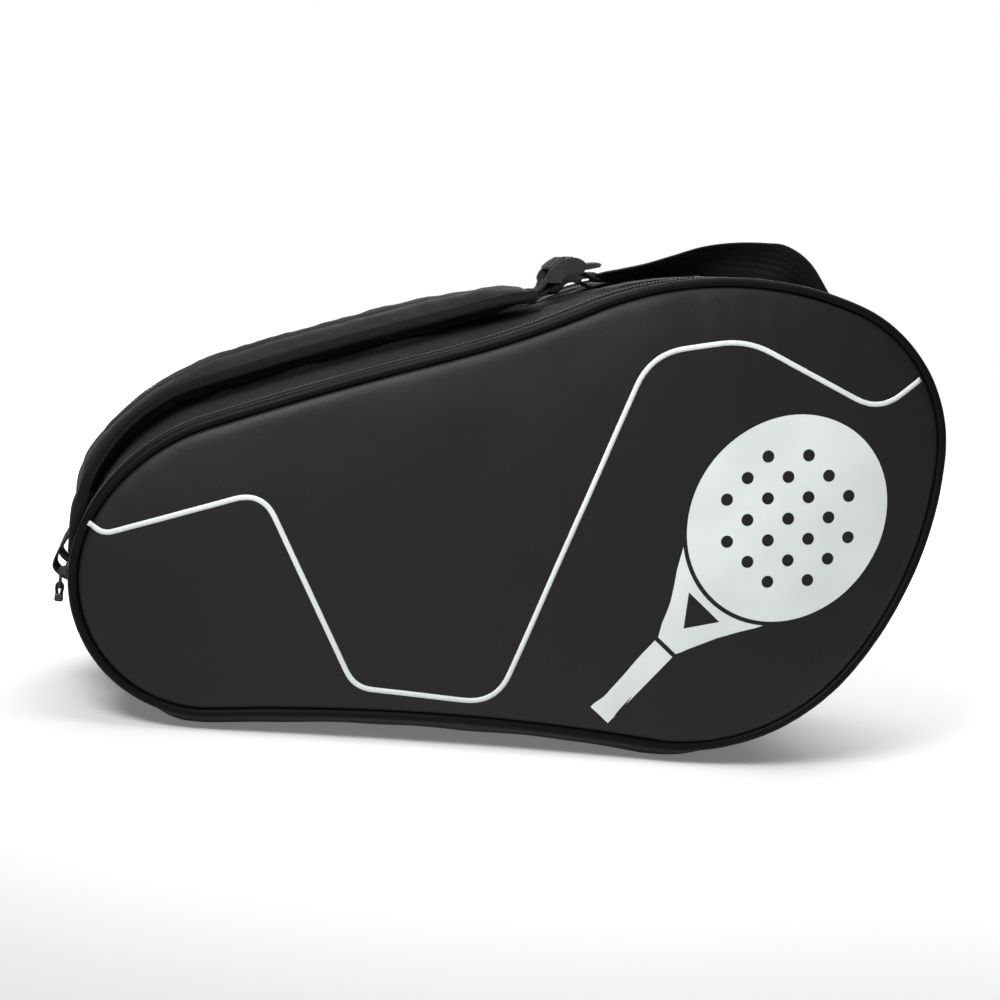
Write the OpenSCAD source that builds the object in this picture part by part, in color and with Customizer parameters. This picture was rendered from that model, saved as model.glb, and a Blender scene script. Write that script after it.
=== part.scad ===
// Padel racket bag with two zipped compartments and two padded shoulder straps.
// It stands on its long lower edge: X runs from the narrow heel to the wide head,
// the front panel faces -Y and Z is up. The origin is on the ground under the bag's middle.

/* [Bag] */
// Length of a side panel between its seams
panel_l = 566; // [540:2:600]
// Depth of the bag over both side panels
bag_depth = 210; // [200:5:230]
// Distance from the middle of the bag to the line of each zip
zip_y = 68; // [66:1:72]
// Height of the lowest panel seam above the ground
seam_lift = 16; // [15:0.5:18]

/* [Gusset] */
// How far the gusset stands outside the panel seam
gusset_out = 5; // [4.5:0.5:6]
// Extra height of the spine over the waist
spine_rise = 15; // [8:1:16]
// Thickness of the gusset fabric with its foam
gusset_t = 3; // [2:0.5:3]

/* [Straps] */
// Distance from the middle of the bag to the middle of each strap
strap_y = 30; // [29:1:31]
// Width of a padded shoulder strap
strap_w = 54; // [46:1:56]
// Thickness of a padded shoulder strap
strap_t = 11; // [8:1:12]
// Width of the strap webbing
webbing_w = 30; // [25:1:32]
// Thickness of the strap webbing
webbing_t = 1.8; // [1.2:0.2:2]

/* [Hidden] */

PANEL_COLOR = "#2b2d2b";
FABRIC_COLOR = "#18191a";
WEBBING_COLOR = "#101112";
PLASTIC_COLOR = "#3a3c3d";
PRINT_COLOR = "#dfe4e2";

// ---- The outline of a side panel, as a chain of arcs ----

// Anticlockwise from the bottom of the belly: [radius / panel_l, turn in degrees]
ARCS = [
    [0.252, 60],    // belly
    [0.435, 37],    // side of the head
    [0.173, 72.5],  // shoulder of the head
    [0.420, 44],    // top of the head
    [-1.27, -8.3],  // waist, hollow
    [4.60, 3.5],    // neck
    [0.225, 39.3],  // top of the heel
    [0.149, 123],   // heel
    [-2.72, -11]    // sole, hollow
];
START_HEADING = -5.45;
START = [0.198 * panel_l, seam_lift + ARCS[0][0] * panel_l * (1 - cos(START_HEADING))];

// Each leg: [centre, radius, heading at its start, turn, travel at its start, length, end point]
function legs_from(i, p, h, s) =
    i == len(ARCS) ? [] :
    let(
        r = ARCS[i][0] * panel_l,
        turn = ARCS[i][1],
        c = p + r * [-sin(h), cos(h)],
        length = r * turn * PI / 180,
        next = c + r * [sin(h + turn), -cos(h + turn)]
    )
    concat([[c, r, h, turn, s, length, next]], legs_from(i + 1, next, h + turn, s + length));

LEGS = legs_from(0, START, START_HEADING, 0);
LAST = LEGS[len(LEGS) - 1];
PERIMETER = LAST[4] + LAST[5];
// The chain misses its start by a hair, and that is spread along it
MISS = LAST[6] - START;

function leg_at(s) = [for (leg = LEGS) if (s < leg[4] + leg[5] || leg == LAST) leg][0];
function heading(u) =
    let(s = (u - floor(u)) * PERIMETER, leg = leg_at(s))
    leg[2] + leg[3] * (s - leg[4]) / leg[5];
// Point at share u of the outline, d outside the seam, as [x, z]
function spot(u, d = 0) =
    let(w = u - floor(u), h = heading(u), leg = leg_at(w * PERIMETER))
    leg[0] + (leg[1] + d) * [sin(h), -cos(h)] - MISS * w;
// Share of the outline that a length in mm takes
function share(length) = length / PERIMETER;
function between(a, b, n) = [for (i = [0:n]) a + (b - a) * i / n];
function reversed(list) = [for (i = [len(list) - 1:-1:0]) list[i]];
function smooth(a, b, x) = let(t = min(1, max(0, (x - a) / (b - a)))) t * t * (3 - 2 * t);

// Facets round the outline, and shares of it where pieces begin and end
RING_STEPS = 120;
ZIP_START = 0.076;
HEAD_TOP = 0.27;
ANCHOR = 0.2986;
SPINE_END = 0.71;
ZIP_END = 0.738;
PAD_HEEL = 0.68;

// ---- Depths and thicknesses ----

HALF = bag_depth / 2;
SKIN_T = 1.2;
FOAM_T = 4.5;
LINING_T = 0.8;
PANEL_IN = HALF - SKIN_T - FOAM_T - LINING_T;
PIPING = 7;
TAPE_W = 6;
TEETH_W = 1.8;
TEETH_T = 1.4;
END_TAB_L = 18;
END_TAB_T = 1.2;
SPINE_Y = zip_y - TAPE_W;
DIVIDER_T = 5;
// Gap between pieces on different bodies, and under a zip slider
GAP = 0.4;
SLIDER_GAP = 1.2;
// Room between pieces sewn side by side
SEW = 0.2;
// How far the lower gusset is pressed flat by the ground
PRESSED = 1;

// Rise of the spine over the waist, and drop of the lower gusset to the ground
function rise(u) = spine_rise * smooth(0.40, 0.50, u) * (1 - smooth(0.61, 0.70, u));
function drop(u) =
    (seam_lift - gusset_out + PRESSED)
    * smooth(ZIP_END + share(END_TAB_L), 0.785, u)
    * (1 - smooth(1.015, 1 + ZIP_START - share(END_TAB_L), u));
// Height of the spine and of the lower gusset outside the seam, at depth y
function spine_out(u, y) = gusset_out + rise(u) * (1 - smooth(0.4 * SPINE_Y, SPINE_Y, abs(y)));
function lower_out(u, y) =
    gusset_out + drop(u) * (1 - smooth(0.7 * PANEL_IN, 1.1 * PANEL_IN, abs(y)));

// ---- Shared shapes ----

// Extrudes an [x, z] outline from y0 to y1
module across(y0, y1) {
    translate([0, y1, 0]) rotate([90, 0, 0]) linear_extrude(y1 - y0) children();
}
module disc(d) {
    polygon([for (i = [0:RING_STEPS - 1]) spot(i / RING_STEPS, d)]);
}
// Strip along the outline from share a to share b, between offsets d0 and d1
module strip(a, b, d0, d1) {
    us = between(a, b, ceil((b - a) * RING_STEPS));
    polygon(concat([for (u = us) spot(u, d1)], [for (u = reversed(us)) spot(u, d0)]));
}
// The same, from y over the given depth
module across_at(y, depth) {
    across(y, y + depth) children();
}
// A piece drawn for the rear, at +Y, is turned over for the front
module on(side) {
    if (side == "front") mirror([0, 1, 0]) children();
    else children();
}
// Closed solid through a list of matching cross-sections, each with an even number of points
module loft(sections) {
    n = len(sections[0]);
    last = (len(sections) - 1) * n;
    // Each end is a row of quads between the two halves of its section
    ends = [for (j = [0:n / 2 - 2]) let(quad = [j, j + 1, n - 2 - j, n - 1 - j]) each
        [quad, [for (k = reversed(quad)) last + k]]];
    walls = [for (i = [0:n:last - 1], j = [0:n - 1]) let(k = (j + 1) % n) each
        [[i + j, i + n + j, i + n + k], [i + j, i + n + k, i + k]]];
    polyhedron([for (s = sections) each s], concat(ends, walls), convexity = 10);
}
// Gusset that follows the outline, with its outer face at out(u, y) over the depths ys,
// pressed flat where it meets the ground
module gusset(a, b, ys, out) {
    us = between(a, b, ceil((b - a) * RING_STEPS));
    loft([for (u = us) concat(
        [for (y = ys) let(p = spot(u, out(u, y))) [p[0], y, max(0, p[1])]],
        [for (y = reversed(ys)) let(p = spot(u, out(u, y) - gusset_t)) [p[0], y, p[1]]]
    )]);
}
// Flat band along stations [u, y, offset, tilt]: w wide and t thick, tilted about its own length
module band(stations, w, t) {
    loft([for (s = stations) let(
        p = spot(s[0], s[2]),
        h = heading(s[0]),
        out = [sin(h), 0, -cos(h)],
        side = [0, cos(s[3]), 0] + sin(s[3]) * out,
        face = [0, -sin(s[3]), 0] + cos(s[3]) * out,
        middle = [p[0], s[1], p[1]]
    ) [for (k = [[-w, -t], [w, -t], [w, t], [-w, t]] / 2) middle + k[0] * side + k[1] * face]]);
}
// Moves a shape to share u of the outline: its +X runs back along it and +Z points outward
module at(u, d) {
    p = spot(u, d);
    translate([p[0], 0, p[1]]) rotate([0, 180 - heading(u), 0]) children();
}

// ---- Gussets, divider and linings of the bag's body ----

module spine_panel() {
    ys = [for (k = [-1, -0.75, -0.4, 0.4, 0.75, 1]) k * SPINE_Y];
    color(FABRIC_COLOR) gusset(HEAD_TOP, SPINE_END, ys, function(u, y) spine_out(u, y));
}
module head_gusset() {
    color(FABRIC_COLOR) across(-SPINE_Y, SPINE_Y)
        strip(ZIP_START, HEAD_TOP - share(SEW), gusset_out - gusset_t, gusset_out);
}
module lower_gusset() {
    ys = [for (k = [-1, -0.9, -0.7, 0.7, 0.9, 1]) k * (PANEL_IN - PIPING / 4)];
    color(FABRIC_COLOR)
        gusset(ZIP_END + share(SEW), 1 + ZIP_START - share(SEW), ys, function(u, y) lower_out(u, y));
}
module divider() {
    color("#2f3133") across(-DIVIDER_T / 2, DIVIDER_T / 2) disc(gusset_out - gusset_t - SEW);
}
module lining(side) {
    d = gusset_out - gusset_t - SEW;
    color("#8c9094") on(side) across(DIVIDER_T / 2 + SEW, SPINE_Y) difference() {
        disc(d);
        disc(d - LINING_T);
    }
}
module front_lining() { lining("front"); }
module rear_lining() { lining("rear"); }

// ---- Zips ----

// One half of a zip: a tape with a row of teeth along its edge
module tape(y_edge, y_far) {
    inward = sign(y_far - y_edge);
    teeth_far = y_edge + inward * TEETH_W;
    across(min(y_edge, y_far), max(y_edge, y_far))
        strip(ZIP_START, ZIP_END, gusset_out - gusset_t / 2, gusset_out);
    across(min(y_edge, teeth_far), max(y_edge, teeth_far))
        strip(ZIP_START, ZIP_END, gusset_out, gusset_out + TEETH_T);
}
module inner_tape(side) {
    color(WEBBING_COLOR) on(side) tape(zip_y - GAP / 2, SPINE_Y);
}
module outer_tape(side) {
    color(WEBBING_COLOR) on(side) tape(zip_y + GAP / 2, zip_y + TAPE_W);
}
// Fabric tabs that cover both ends of a zip
module zip_ends(side) {
    low = gusset_out + 4 * SEW;
    color(FABRIC_COLOR) on(side) across(SPINE_Y + SEW, zip_y + TAPE_W) {
        strip(ZIP_START - share(END_TAB_L), ZIP_START - share(SEW), low, low + END_TAB_T);
        strip(ZIP_END + share(SEW), ZIP_END + share(END_TAB_L), low, low + END_TAB_T);
    }
}
module front_inner_tape() { inner_tape("front"); }
module rear_inner_tape() { inner_tape("rear"); }
module front_outer_tape() { outer_tape("front"); }
module rear_outer_tape() { outer_tape("rear"); }
module front_zip_ends() { zip_ends("front"); }
module rear_zip_ends() { zip_ends("rear"); }

// ---- Sliders and pullers, at the heel ----

SLIDER_AT = 0.702;
SLIDER_L = 12;
SLIDER_W = 9;
SLIDER_T = 2.4;
CHEEK_L = 4;
CHEEK_W = 1.6;
PIN_R = 1.2;
// Radial clearance of the puller's eye on its pin
PIN_FIT = 0.05;
EYE_R = 2.6;
PIN_H = SLIDER_T + EYE_R + GAP;
PULLER_L = 12;
PULLER_W = 5;
PULLER_T = 1.8;
// Slot for the cord near the puller's end, square from the side
SLOT = 3;
SLOT_AT = PULLER_L - SLOT;
CORD_L = 9;
CORD_R = 1.1;
// Crimped block that holds both ends of the cord
CRIMP_L = 4;
CRIMP_W = 3.4;
SLIDER_D = gusset_out + TEETH_T + SLIDER_GAP;

module slider(side) {
    color(PLASTIC_COLOR) on(side) translate([0, zip_y, 0]) at(SLIDER_AT, SLIDER_D) {
        translate([-SLIDER_L / 2, -SLIDER_W / 2, 0]) cube([SLIDER_L, SLIDER_W, SLIDER_T]);
        // Cheeks on each side of the puller's eye, and the pin between them
        cheek_y = (PULLER_W + CHEEK_W) / 2 + GAP;
        for (y = [-cheek_y, cheek_y]) {
            translate([-CHEEK_L / 2, y - CHEEK_W / 2, SLIDER_T - SEW])
                cube([CHEEK_L, CHEEK_W, PIN_H + PIN_R + 1 - SLIDER_T]);
        }
        translate([0, 0, PIN_H]) rotate([90, 0, 0])
            cylinder(r = PIN_R, h = 2 * cheek_y, center = true, $fn = 48);
    }
}
// Places a shape at the slider's pin with its +X hanging straight down
module hanging(side) {
    p = spot(SLIDER_AT, SLIDER_D + PIN_H);
    on(side) translate([p[0], zip_y, p[1]]) rotate([0, 90, 0]) children();
}
module puller(side) {
    color(PLASTIC_COLOR) hanging(side) rotate([90, 0, 0]) {
        difference() {
            union() {
                cylinder(r = EYE_R, h = PULLER_W, center = true, $fn = 48);
                translate([PULLER_L / 2, 0, 0]) cube([PULLER_L, PULLER_T, PULLER_W], center = true);
            }
            cylinder(r = PIN_R + PIN_FIT, h = PULLER_W + 1, center = true, $fn = 48);
            translate([SLOT_AT, 0, 0]) cube([SLOT, PULLER_T + 1, SLOT], center = true);
        }
    }
}
// Loop of cord through the puller's slot
module pull_cord(side) {
    apart = PULLER_T / 2 + CORD_R + SEW;
    color(WEBBING_COLOR) hanging(side) translate([SLOT_AT, 0, 0]) {
        for (z = [-apart, apart]) {
            translate([0, 0, z]) rotate([0, 90, 0]) cylinder(r = CORD_R, h = CORD_L, $fn = 24);
        }
        cylinder(r = CORD_R, h = 2 * apart, center = true, $fn = 24);
        translate([CORD_L, 0, 0]) cube([CRIMP_L, CRIMP_W, 2 * (apart + CORD_R)], center = true);
    }
}
module front_slider() { slider("front"); }
module rear_slider() { slider("rear"); }
module front_puller() { puller("front"); }
module rear_puller() { puller("rear"); }
module front_pull_cord() { pull_cord("front"); }
module rear_pull_cord() { pull_cord("rear"); }

// ---- Covers ----

PIPING_FAR = HALF - 0.5;

module panel(side) {
    color(PANEL_COLOR) on(side) across(HALF - SKIN_T, HALF) disc(0);
}
module foam(side) {
    color("#4a4c4e") on(side) across(PANEL_IN + LINING_T, HALF - SKIN_T) disc(-1);
}
module panel_lining(side) {
    color("#8c9094") on(side) across(PANEL_IN, PANEL_IN + LINING_T) disc(-1);
}
module piping(side) {
    color(WEBBING_COLOR) on(side) across(PIPING_FAR - PIPING, PIPING_FAR) difference() {
        disc(PIPING);
        disc(SEW);
    }
}
module zip_strip(side) {
    color(FABRIC_COLOR) on(side) across(zip_y + TAPE_W, PIPING_FAR - PIPING)
        strip(ZIP_START, ZIP_END, gusset_out - gusset_t, gusset_out);
}
module front_panel() { panel("front"); }
module rear_panel() { panel("rear"); }
module front_foam() { foam("front"); }
module rear_foam() { foam("rear"); }
module front_panel_lining() { panel_lining("front"); }
module rear_panel_lining() { panel_lining("rear"); }
module front_piping() { piping("front"); }
module rear_piping() { piping("rear"); }
module front_zip_strip() { zip_strip("front"); }
module rear_zip_strip() { zip_strip("rear"); }

// ---- Print on the front panel ----

FILM_T = 0.3;
STRIPE_W = 3.4;
// Corners of the stripe's middle line from the heel to the head, as [x, z, corner radius]
STRIPE = [
    [-271, 132.5, 0], [-262, 125, 14], [-165, 162, 22], [-93, 38, 22], [2, 34, 28],
    [78, 276, 42], [142, 292, 60], [240, 254, 30], [264, 275, 0]
];
// Points of a line through corners, with each corner rounded by its radius
function rounded(path) = [for (i = [0:len(path) - 1])
    let(p = [path[i][0], path[i][1]])
    each i == 0 || i == len(path) - 1 ? [p] :
    let(
        a = [path[i - 1][0], path[i - 1][1]] - p,
        b = [path[i + 1][0], path[i + 1][1]] - p,
        half = acos(a * b / norm(a) / norm(b)) / 2,
        reach = min(path[i][2] / tan(half), 0.48 * norm(a), 0.48 * norm(b)),
        p0 = p + a / norm(a) * reach,
        p1 = p + b / norm(b) * reach
    )
    [for (t = between(0, 1, 8)) (1 - t) * (1 - t) * p0 + 2 * t * (1 - t) * p + t * t * p1]];
// Points of a line moved sideways by d
function beside(line, d) = [for (i = [0:len(line) - 1])
    let(
        along = line[min(i + 1, len(line) - 1)] - line[max(i - 1, 0)],
        n = [-along[1], along[0]] / norm(along)
    )
    line[i] + d * n];
module front_stripe() {
    line = rounded(STRIPE);
    color(PRINT_COLOR) across(-HALF - FILM_T, -HALF)
        polygon(concat(beside(line, STRIPE_W / 2), reversed(beside(line, -STRIPE_W / 2))));
}
// Plain racket shape: a round head with holes, a throat and a grip
RACKET = [186, 176];
RACKET_TILT = 52;
RACKET_R = 66;
RACKET_STRETCH = 1.12;
HOLE_R = 4.2;
HOLE_PITCH = 20;
GRIP_W = 17;
GRIP_L = 62;
// The throat runs from the head to the grip, with an open triangle in it
THROAT = [[-56, 38], [-118, GRIP_W / 2], [-118, -GRIP_W / 2], [-56, -38]];
THROAT_HOLE = [[-72, 20], [-100, 0], [-72, -20]];
GRIP_GAP = 3;
module front_print() {
    head = [for (a = [0:6:354]) RACKET_R * [RACKET_STRETCH * cos(a), sin(a)]];
    color(PRINT_COLOR) across(-HALF - FILM_T, -HALF) translate(RACKET) rotate(RACKET_TILT) {
        difference() {
            polygon(head);
            for (i = [-2:2], j = [-2:2]) {
                if (norm([i, j]) < 2.5) translate([i, j] * HOLE_PITCH) circle(r = HOLE_R, $fn = 12);
            }
        }
        difference() {
            polygon(THROAT);
            polygon(1.04 * head);
            polygon(THROAT_HOLE);
        }
        translate([THROAT[1][0] - GRIP_GAP - GRIP_L, -GRIP_W / 2]) square([GRIP_L, GRIP_W]);
    }
}

// ---- Shoulder straps ----

// Where each pad ends, and how far the pull of the webbing holds it up there
function pad_end(side) = side == "front" ? 0.4415 : 0.4365;
function held_up(side) = side == "front" ? 5 : 0;

// A pad lies just off the spine, and is sewn down at the heel
PAD_GAP = 1.5;
PAD_SEWN_DOWN = 1.2;
function strap_base(u, side) =
    spine_out(u, 0) + PAD_GAP
    + held_up(side) * (1 - smooth(pad_end(side), pad_end(side) + 0.06, u))
    - PAD_SEWN_DOWN * smooth(PAD_HEEL - 0.04, PAD_HEEL, u);

// A pad's section, as shares of its half width and its thickness
PAD_SECTION = [
    [-0.9, 0], [0.9, 0], [1, 0.3], [1, 0.7], [0.85, 1], [-0.85, 1], [-1, 0.7], [-1, 0.3]
];
// Over this share of the outline a pad thins and narrows to its ends
PAD_FADE = 0.02;
PAD_STEPS = 36;
module strap_pad(side) {
    end = pad_end(side);
    color(FABRIC_COLOR) on(side) loft([for (u = reversed(between(end, PAD_HEEL, PAD_STEPS)))
        let(
            fade = smooth(0, PAD_FADE, u - end) * smooth(0, PAD_FADE, PAD_HEEL - u),
            t = strap_t * (0.55 + 0.45 * fade),
            half = strap_w / 2 * (0.8 + 0.2 * fade)
        )
        [for (k = PAD_SECTION)
            let(p = spot(u, strap_base(u, side) + k[1] * t)) [p[0], strap_y + k[0] * half, p[1]]]]);
}
// Sewn tab that holds the buckle to the pad
TAB_L = 8.5;
TAB_T = 3;
module strap_tab(side) {
    end = pad_end(side);
    middle = strap_base(end, side) + 0.5 * strap_t - TAB_T;
    color(WEBBING_COLOR) on(side) band(
        [for (d = between(1, TAB_L, 4)) [end - share(d), strap_y, middle, 0]], webbing_w - 2, TAB_T);
}

// ---- Buckles ----

BUCKLE_W = 38;
PLATE_T = 4;
// Each side plate is a disc, hollowed from below and cut off where the webbing comes out
PLATE_R = 16.4;
HOLLOW = [1.4, -6];
HOLLOW_R = 10;
PLATE_SIDES = 72;
PLATE_CUT = [[1.4, -20], [40, -20], [40, 15.5], [13.5, 15.5], [12.3, 10.9], [10.4, 3.4], [1.4, 4]];
// The plates' middle from their foot, and the foot from the pad's end
FOOT = [15.7, 4.5];
FOOT_GAP = 9.3;
// Bars between the plates, from the plates' middle
BARS = [[-11.2, -0.6], [-1.5, 10.5], [8.2, 8.4]];
BAR_R = 1.8;
// Ribbed grip over the plates, as angles and radii round their middle
GRIP_ARC = [112, 160];
GRIP_R = [14.8, 17.4];
RIBS = 6;
RIB_R = 0.5;
// Side views of the tongue that the thumb lifts, and of the webbing's short end
TONGUE = [[7, 12.4], [19.9, 14.6], [20.3, 16.2], [6.4, 14.6]];
TAIL = [[4, 5], [13, 2.6]];

// How high on its pad's end each buckle sits, as a share of the pad's thickness
function foot_height(side) = side == "front" ? 0.55 : 0.15;
function buckle_foot(side) =
    spot(pad_end(side) - share(FOOT_GAP),
        strap_base(pad_end(side), side) + foot_height(side) * strap_t);

module plate() {
    difference() {
        circle(r = PLATE_R, $fn = PLATE_SIDES);
        translate(HOLLOW) circle(r = HOLLOW_R, $fn = PLATE_SIDES);
        translate([-2 * PLATE_R, -FOOT[1] - 2 * PLATE_R]) square([4 * PLATE_R, 2 * PLATE_R]);
        polygon(PLATE_CUT);
    }
}
module grip() {
    angles = between(GRIP_ARC[0], GRIP_ARC[1], RIBS);
    polygon(concat(
        [for (a = angles) GRIP_R[1] * [cos(a), sin(a)]],
        [for (a = reversed(angles)) GRIP_R[0] * [cos(a), sin(a)]]
    ));
    for (a = angles) translate(GRIP_R[1] * [cos(a), sin(a)]) circle(r = RIB_R, $fn = 12);
}
// Places a shape at the plates' middle
module buckle_at(side) {
    p = buckle_foot(side) + FOOT;
    on(side) translate([p[0], strap_y, p[1]]) children();
}
module buckle(side) {
    inside = BUCKLE_W / 2 - PLATE_T + SEW;
    color(PLASTIC_COLOR) buckle_at(side) {
        for (y = [-BUCKLE_W / 2, BUCKLE_W / 2 - PLATE_T]) across_at(y, PLATE_T) plate();
        for (bar = BARS) across(-inside, inside) translate(bar) circle(r = BAR_R, $fn = 32);
        across(-inside, inside) {
            grip();
            polygon(TONGUE);
        }
    }
}
module webbing_tail(side) {
    up = [0, webbing_t];
    w = webbing_w - 2;
    color(WEBBING_COLOR) buckle_at(side)
        across_at(-w / 2, w) polygon([TAIL[0], TAIL[1], TAIL[1] + up, TAIL[0] + up]);
}
module front_strap_pad() { strap_pad("front"); }
module rear_strap_pad() { strap_pad("rear"); }
module front_strap_tab() { strap_tab("front"); }
module rear_strap_tab() { strap_tab("rear"); }
module front_buckle() { buckle("front"); }
module rear_buckle() { buckle("rear"); }
module front_webbing_tail() { webbing_tail("front"); }
module rear_webbing_tail() { webbing_tail("rear"); }

// ---- Webbing sewn to the bag ----

// Stations from the head to the buckle: [share, depth, offset of the middle, tilt]
FRONT_RUN = [
    [0.2986, 25, 8, 6], [0.304, 25, 11, 18], [0.3129, 26, 17, 42], [0.320, 27, 20, 58],
    [0.3271, 28, 21.5, 65], [0.334, 28, 20.8, 60], [0.3407, 29, 20, 56], [0.352, 29, 18.4, 50],
    [0.3635, 30, 16.6, 42], [0.3764, 30, 14, 30], [0.3892, 30, 12.4, 22], [0.4005, 30, 13, 18],
    [0.4080, 30, 15, 17], [0.4132, 30, 17.2, 16]
];
REAR_RUN = [for (u = between(ANCHOR, 0.4085, 9)) [u, 30, gusset_out + 2.2, 0]];
// Stations of the bow between the heel end of a pad and the heel seam
HEEL_RUN = [
    [0.6806, 30, 9.5, 0], [0.687, 30, 10, 0], [0.695, 30, 15, 0], [0.7, 30, 18.5, 0],
    [0.7035, 30, 19, 0], [0.707, 30, 14, 0], [0.709, 30, 9, 0], [0.711, 30, 7, 0],
    [0.72, 30, 6.6, 0]
];
// Depths over y and length of the patches sewn over the head ends of the webbings
PATCH_Y = [8, 46];
PATCH_L = 24;
PATCH_T = 3.8;

module front_webbing() {
    color(WEBBING_COLOR) on("front") band(FRONT_RUN, webbing_w, webbing_t);
}
module rear_webbing() {
    color(WEBBING_COLOR) on("rear") band(REAR_RUN, webbing_w, webbing_t);
}
module heel_webbing(side) {
    color(WEBBING_COLOR) on(side) band(HEEL_RUN, webbing_w, webbing_t);
}
module front_heel_webbing() { heel_webbing("front"); }
module rear_heel_webbing() { heel_webbing("rear"); }
module anchor_patches() {
    low = gusset_out + SEW;
    color(FABRIC_COLOR) for (side = ["front", "rear"]) {
        on(side) across(PATCH_Y[0], PATCH_Y[1])
            strip(ANCHOR - share(PATCH_L), ANCHOR - share(SEW), low, low + PATCH_T);
    }
}

spine_panel();
head_gusset();
lower_gusset();
divider();
front_lining();
rear_lining();
front_inner_tape();
rear_inner_tape();
front_zip_ends();
rear_zip_ends();
front_heel_webbing();
rear_heel_webbing();
front_webbing();
rear_webbing();
anchor_patches();
front_panel();
front_foam();
front_panel_lining();
front_piping();
front_zip_strip();
front_outer_tape();
front_stripe();
front_print();
rear_panel();
rear_foam();
rear_panel_lining();
rear_piping();
rear_zip_strip();
rear_outer_tape();
front_slider();
front_puller();
front_pull_cord();
rear_slider();
rear_puller();
rear_pull_cord();
front_strap_pad();
front_strap_tab();
front_buckle();
front_webbing_tail();
rear_strap_pad();
rear_strap_tab();
rear_buckle();
rear_webbing_tail();
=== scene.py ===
"""Padel racket bag with two zipped compartments and two padded shoulder straps.

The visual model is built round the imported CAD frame. Sizes are in millimetres and become
metres when a mesh is made. X runs from the narrow heel to the wide head, the front panel
faces -Y and Z is up, as in the CAD.
"""

import math

import bpy
import numpy as np
from mathutils import Matrix, Vector, noise
from mathutils.geometry import delaunay_2d_cdt


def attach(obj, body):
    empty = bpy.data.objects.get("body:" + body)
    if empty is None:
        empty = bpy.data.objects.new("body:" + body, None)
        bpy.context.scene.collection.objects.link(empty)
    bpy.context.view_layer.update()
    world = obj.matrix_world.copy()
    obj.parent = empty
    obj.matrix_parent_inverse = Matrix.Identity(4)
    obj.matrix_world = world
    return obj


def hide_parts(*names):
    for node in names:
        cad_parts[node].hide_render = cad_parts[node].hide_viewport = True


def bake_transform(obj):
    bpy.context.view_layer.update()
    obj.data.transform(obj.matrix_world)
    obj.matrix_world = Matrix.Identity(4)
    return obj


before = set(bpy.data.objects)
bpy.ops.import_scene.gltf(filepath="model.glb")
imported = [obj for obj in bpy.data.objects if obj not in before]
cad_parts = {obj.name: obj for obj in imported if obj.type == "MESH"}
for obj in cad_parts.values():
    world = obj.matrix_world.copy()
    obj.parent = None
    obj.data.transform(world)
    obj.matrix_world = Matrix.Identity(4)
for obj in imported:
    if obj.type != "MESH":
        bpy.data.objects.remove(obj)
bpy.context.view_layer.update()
MM = 0.001

# ---- Driving sizes, the same as the CAD's ----

PANEL_L = 566
HALF = 105
ZIP_Y = 68
SEAM_LIFT = 16
GUSSET_OUT = 5
GUSSET_T = 3
SPINE_RISE = 15
STRAP_Y = 30
STRAP_W = 54
STRAP_T = 11
WEBBING_W = 30
WEBBING_T = 1.8
PIPING = 7
TAPE_W = 6
PANEL_IN = 98.5
SPINE_Y = ZIP_Y - TAPE_W
PRESSED = 1
TAB_L = 18
STITCH_PITCH = 3.4
TOOTH_PITCH = 2.6

# Shares of the outline, anticlockwise from the belly's bottom, where pieces begin and end
ZIP_START = 0.076
HEAD_TOP = 0.27
ANCHOR = 0.2986
SPINE_END = 0.71
ZIP_END = 0.738
PAD_HEEL = 0.68
SLIDER_AT = 0.702
PAD_END = {"front": 0.4415, "rear": 0.4365}
HELD_UP = {"front": 5, "rear": 0}
SIDES = {"front": -1, "rear": 1}
# Shares where the spine starts to rise over the waist, is up, starts to fall and is down
HUMP = (0.40, 0.50, 0.61, 0.70)
# Shares where the lower gusset has reached the ground and where it leaves it
GROUND = (0.785, 1.015)

# ---- The outline of a side panel, as a chain of arcs ----

# Anticlockwise from the bottom of the belly: (radius / PANEL_L, turn in degrees)
ARCS = (
    (0.252, 60),  # belly
    (0.435, 37),  # side of the head
    (0.173, 72.5),  # shoulder of the head
    (0.420, 44),  # top of the head
    (-1.27, -8.3),  # waist, hollow
    (4.60, 3.5),  # neck
    (0.225, 39.3),  # top of the heel
    (0.149, 123),  # heel
    (-2.72, -11),  # sole, hollow
)
START_HEADING = math.radians(-5.45)


class Outline:
    """The seam of a side panel, by share u of its length."""

    def __init__(self):
        radius = ARCS[0][0] * PANEL_L
        start = np.array([0.198 * PANEL_L, SEAM_LIFT + radius * (1 - math.cos(START_HEADING))])
        point, heading, travel, legs = start, START_HEADING, 0, []
        for share, degrees in ARCS:
            r, turn = share * PANEL_L, math.radians(degrees)
            centre = point + r * np.array([-math.sin(heading), math.cos(heading)])
            legs.append((centre, r, heading, travel))
            heading += turn
            travel += r * turn
            point = centre + r * np.array([math.sin(heading), -math.cos(heading)])
        self.centres, self.radii, self.headings, self.starts = (np.array(x) for x in zip(*legs))
        self.length = travel
        self.miss = point - start

    def leg(self, u):
        travel = (u - np.floor(u)) * self.length
        i = np.searchsorted(self.starts, travel, side="right") - 1
        return i, self.headings[i] + (travel - self.starts[i]) / self.radii[i]

    def heading(self, u):
        return self.leg(np.asarray(u, float))[1]

    def outward(self, u):
        h = self.heading(u)
        return np.stack([np.sin(h), -np.cos(h)], -1)

    def spot(self, u, d=0.0):
        """Points at shares u, d outside the seam, as (x, z)."""
        u, d = np.broadcast_arrays(np.asarray(u, float), np.asarray(d, float))
        i, h = self.leg(u)
        out = np.stack([np.sin(h), -np.cos(h)], -1)
        closing = (u - np.floor(u))[..., None] * self.miss
        return self.centres[i] + (self.radii[i] + d)[..., None] * out - closing


SEAM = Outline()


def share(length):
    return length / SEAM.length


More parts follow.
